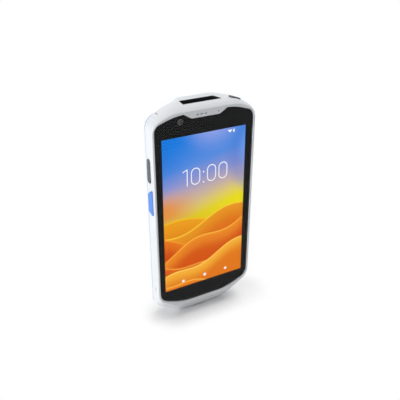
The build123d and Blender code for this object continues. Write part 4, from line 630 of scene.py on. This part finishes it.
GLASS_BACK = -7.9
INK_DEPTH = GLASS_BACK - 0.03
INK_MARGIN = 0.08  # of the print from the glass's rim
FRONT_CAMERA = (-17.6, 144.1)
FRONT_OPENING = 2.1
REAR_CAMERA = (18.0, 137.0)
REAR_PRINT_DEPTH = 8.37
REAR_PRINT_RADIUS = 4.45
REAR_OPENING = 2.75
FLASH = (18.0, 126.5)
GROOVE_START, GROOVE_END = 0.34, 0.62  # of the innermost groove on the flash window
GROOVE_PITCH = 0.34
GROOVE_COUNT = 5
MICROPHONE = (9.3, 147.45)
SCREWS = ((-20, 14.5), (20, 14.5), (-23, 117), (23, 117))
LATCH_X = 16.5
PAD_FACE = 9.0
RIDGE_TOP = 9.26
RIDGE_HEIGHTS = (99.9, 100.8, 101.7, 102.6)
RIDGE_HALF_LENGTH = 3.0
RIDGE_HALF_WIDTH = 0.28
STRIP_COUNT = 13
STRIP_PITCH = 0.5
STRIP_HALF_WIDTH = 0.13
STRIP_LOW, STRIP_HIGH = 3.6, 6.9
STRIP_LAYERS = ((-0.15, -0.11), (0.57, 0.61))

# The body's outline seen from the front, as in the CAD: its sides run from the low shoulder
# to the high one and lean outwards on the way up.
BODY_LENGTH = 155.0
TOP_WIDTH = 75.5
BOTTOM_WIDTH = 73.2
LOW_SHOULDER_RISE = 11.5
HIGH_SHOULDER_RUN = 15.2
HIGH_SHOULDER_DROP = 8.1
SIDE_CATCH = (-5.0, 26.7)
SHOULDER_CATCH = (30.6, -2.1, 150.03)

# ---------------------------------------------------------------- pieces

# black print behind the glass, open over the lit area and the front camera
glass_rim = rim_of(nodes["touch_glass"], GLASS_BACK)
lit = [(side * LIT_HALF / MM, (LIT_LOW + rise * LIT_HEIGHT) / MM)
       for side, rise in ((-1, 0), (1, 0), (1, 1), (-1, 1))]
sheet_with_holes("glass_ink", inset(glass_rim, INK_MARGIN),
                 [lit, circle(*FRONT_CAMERA, FRONT_OPENING)], INK_DEPTH, ink, "body",
                 "black_plastic")

# housing screws with a six-lobed recess
screw_rings = [(0.55, 8.45, 0.09), (0.62, 8.52, 0.11), (0.70, 8.96, 0.13), (0.76, 9.0, 0.13),
               (1.34, 9.0), (1.44, 8.96), (1.5, 8.86), (1.5, 8.0), (0.8, 7.9), (0.8, -3.7),
               (0.35, -4.2)]
heads = [turned(x, z, screw_rings, lobes=6) for x, z in SCREWS]
screws = piece("housing_screw_set", *joined(*heads), dark_steel, "body", "screw_steel")
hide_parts("housing_screws")

# rear camera: module, stepped barrel and lens under a window with a printed ring
module = piece("rear_camera_module", *joined(
    block((13.7, 3.0, 132.7), (22.3, 7.6, 141.3), 0.25),
    turned(*REAR_CAMERA, [
        (1.5, 7.62), (1.75, 7.66), (1.9, 7.82), (2.1, 7.84), (2.25, 8.0), (2.5, 8.02),
        (2.62, 8.2), (3.1, 8.2), (3.2, 8.12), (3.2, 7.5)])),
    black, "body", "black_plastic")
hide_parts("rear_camera")
piece("rear_camera_lens", *turned(*REAR_CAMERA, [
    (1.72, 7.60), (1.72, 7.74), (1.5, 7.86), (1.1, 7.98), (0.6, 8.06), (0.2, 8.09)]),
    coated, "body", "dark_glass", smooth=True)
sheet_with_holes("rear_camera_print", circle(*REAR_CAMERA, REAR_PRINT_RADIUS, 64),
                 [circle(*REAR_CAMERA, REAR_OPENING, 64)], REAR_PRINT_DEPTH, ink, "body",
                 "black_plastic")

# front camera the same way, facing the other way
eye = piece("front_camera_module", *joined(
    block((-20.85, -5.6, 140.85), (-14.35, -3.4, 147.35), 0.25),
    turned(*FRONT_CAMERA, [
        (0.8, -7.25), (0.95, -7.28), (1.05, -7.52), (1.2, -7.54), (1.35, -7.7),
        (2.22, -7.7), (2.3, -7.62), (2.3, -5.5)])),
    barrel_grey, "body", "black_plastic")
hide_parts("front_camera")
piece("front_camera_lens", *turned(*FRONT_CAMERA, [
    (0.93, -7.24), (0.93, -7.32), (0.8, -7.44), (0.5, -7.53), (0.2, -7.56)]),
    coated, "body", "dark_glass", smooth=True)

# flash window with stepped rings on its face
steps = [(0.3, 9.06)]
for k in range(GROOVE_COUNT):
    steps += [(GROOVE_START + GROOVE_PITCH * k, 9.0), (GROOVE_END + GROOVE_PITCH * k, 9.08)]
steps += [(2.12, 9.1), (2.2, 9.04), (2.2, 8.4)]
fresnel = piece("flash_lens", *turned(*FLASH, steps), clear, "body", "clear_glass")
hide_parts("flash_window")

# grip ridges on the latch pads
for hand, side in (("left", -1), ("right", 1)):
    middle = side * LATCH_X
    bars = [block((middle - RIDGE_HALF_LENGTH, PAD_FACE, z - RIDGE_HALF_WIDTH),
                  (middle + RIDGE_HALF_LENGTH, RIDGE_TOP, z + RIDGE_HALF_WIDTH), 0.12)
            for z in RIDGE_HEIGHTS]
    piece(f"latch_ridges_{hand}", *joined(*bars), key_grey, f"latch_{hand}", "grey_key")

# contact strips on both faces of the connector's tongue
strip_places = [STRIP_PITCH * (i - (STRIP_COUNT - 1) / 2) for i in range(STRIP_COUNT)]
strips = [block((x - STRIP_HALF_WIDTH, low, STRIP_LOW),
                (x + STRIP_HALF_WIDTH, high, STRIP_HIGH), 0.01)
          for x in strip_places for low, high in STRIP_LAYERS]
piece("port_strips", *joined(*strips), gold, "body", "gold_contact")

# grey plugs in the accessory slots: their grey is painted shade, standing for the shadow inside
# the slots
catch_y, catch_z = SIDE_CATCH
shoulder_x, shoulder_y, shoulder_z = SHOULDER_CATCH
side_length = BODY_LENGTH - LOW_SHOULDER_RISE - HIGH_SHOULDER_DROP
share_up = (catch_z - LOW_SHOULDER_RISE) / side_length
catch_x = (BOTTOM_WIDTH + share_up * (TOP_WIDTH - BOTTOM_WIDTH)) / 2
slope = math.atan2(HIGH_SHOULDER_DROP, HIGH_SHOULDER_RUN)
plugs = []
for side in (-1, 1):
    plugs.append(slot_shade_plug((side * catch_x, catch_y, catch_z),
                           (0, 0, 1), (0, 1, 0), (side, 0, 0)))
    plugs.append(slot_shade_plug((side * shoulder_x, shoulder_y, shoulder_z), (0, 1, 0),
                           (math.cos(slope), 0, -side * math.sin(slope)),
                           (side * math.sin(slope), 0, math.cos(slope))))
piece("catch_slot_shade", *joined(*plugs), slot_shade_grey, "body", "grey_key")

# gauze in the microphone's port
gauze_rings = [(0.36, -9.05), (0.39, -9.02), (0.39, -8.4)]
piece("microphone_gauze", *turned(*MICROPHONE, gauze_rings, 24), mesh_black, "body", "mesh")

# ---------------------------------------------------------------- floor and surroundings

WORLD_LIGHT = 0.25
FLOOR_REACH = 3.0
FLOOR_LIGHTING = grey(0.62)  # the floor's colour for the light that it throws back
FLOOR_SEEN = grey(0.98)
# Where the floor shows the shadow: a strip along X, and the fade to paper white round it.
SHADOW_MIDDLE = 0.008
SHADOW_HALF = 0.028
SHADOW_FADE = (0.004, 0.026)

floor_mesh = bpy.data.meshes.new("floor")
floor_mesh.from_pydata(
    [(side_x * FLOOR_REACH, side_y * FLOOR_REACH, 0)
     for side_x, side_y in ((-1, -1), (1, -1), (1, 1), (-1, 1))], [], [(0, 1, 2, 3)])
floor = placed("floor", floor_mesh)
material, tree, shader = new_material("pale_floor")
sums = Sums(tree)
shader.inputs["Roughness"].default_value = 0.9
shader.inputs["Specular IOR Level"].default_value = 0.0
seen = sums.seen()
x, y, _ = object_axes(tree)
tree.links.new(sums.blend(seen, FLOOR_LIGHTING, FLOOR_SEEN), shader.inputs["Base Color"])
# the floor shows the shadow near the object and is paper white away from it
beside = sums.most(sums.sub(sums.off(x, SHADOW_MIDDLE), SHADOW_HALF), 0.0)
far = sums.mul(sums.step(sums.hyp(beside, y), *SHADOW_FADE), seen)
paper = node(tree, "ShaderNodeEmission")
both = node(tree, "ShaderNodeMixShader")
tree.links.new(far, both.inputs[0])
tree.links.new(shader.outputs["BSDF"], both.inputs[1])
tree.links.new(paper.outputs["Emission"], both.inputs[2])
tree.links.new(both.outputs["Shader"], tree.nodes["Material Output"].inputs["Surface"])
floor_mesh.materials.append(material)

world = bpy.data.worlds.new("studio")
bpy.context.scene.world = world
world.use_nodes = True
tree = world.node_tree
sums = Sums(tree)
background = tree.nodes["Background"]
background.inputs["Color"].default_value = (1, 1, 1, 1)
strength = sums.add(sums.mul(sums.seen(), 1.0 - WORLD_LIGHT), WORLD_LIGHT)
tree.links.new(strength, background.inputs["Strength"])

# ---------------------------------------------------------------- lamps and camera


def area_light(name, place, target, size, power):
    light = bpy.data.lights.new(name, "AREA")
    light.shape = "DISK"
    light.size = size
    light.energy = power
    lamp = placed(name, light)
    lamp.location = place
    aim = Vector(target) - Vector(place)
    lamp.rotation_euler = aim.to_track_quat("-Z", "Y").to_euler()


area_light("key_left", (-1.20, -0.24, 0.12), (0, 0, 0.09), 0.6, 14.2)
area_light("top_soft", (0.55, 0.05, 1.15), (0, 0, 0.05), 1.0, 8.4)
area_light("back_fill", (0.25, 1.2, 0.40), (0, 0, 0.08), 0.8, 5.6)

CAMERA_AT = Vector((-0.1796, -0.3098, 0.2580))
CAMERA_AZIMUTH = math.radians(30.254)
CAMERA_ELEVATION = math.radians(25.936)
CAMERA_ROLL = math.radians(0.05)
FOCAL_PX = 587.4
IMAGE_PX = 400
SENSOR_WIDTH = 36.0
forward = Vector((
    math.sin(CAMERA_AZIMUTH) * math.cos(CAMERA_ELEVATION),
    math.cos(CAMERA_AZIMUTH) * math.cos(CAMERA_ELEVATION),
    -math.sin(CAMERA_ELEVATION)))
right = Vector((math.cos(CAMERA_AZIMUTH), -math.sin(CAMERA_AZIMUTH), 0))
up = right.cross(forward)
turn = Matrix((right, up, -forward)).transposed().to_4x4()
camera_data = bpy.data.cameras.new("camera")
camera_data.sensor_width = SENSOR_WIDTH
camera_data.lens = FOCAL_PX / IMAGE_PX * SENSOR_WIDTH
camera = placed("camera", camera_data)
camera.matrix_world = (Matrix.Translation(CAMERA_AT) @ turn
                       @ Matrix.Rotation(CAMERA_ROLL, 4, "Z"))
bpy.context.scene.camera = camera
bpy.context.scene.view_settings.view_transform = "Standard"
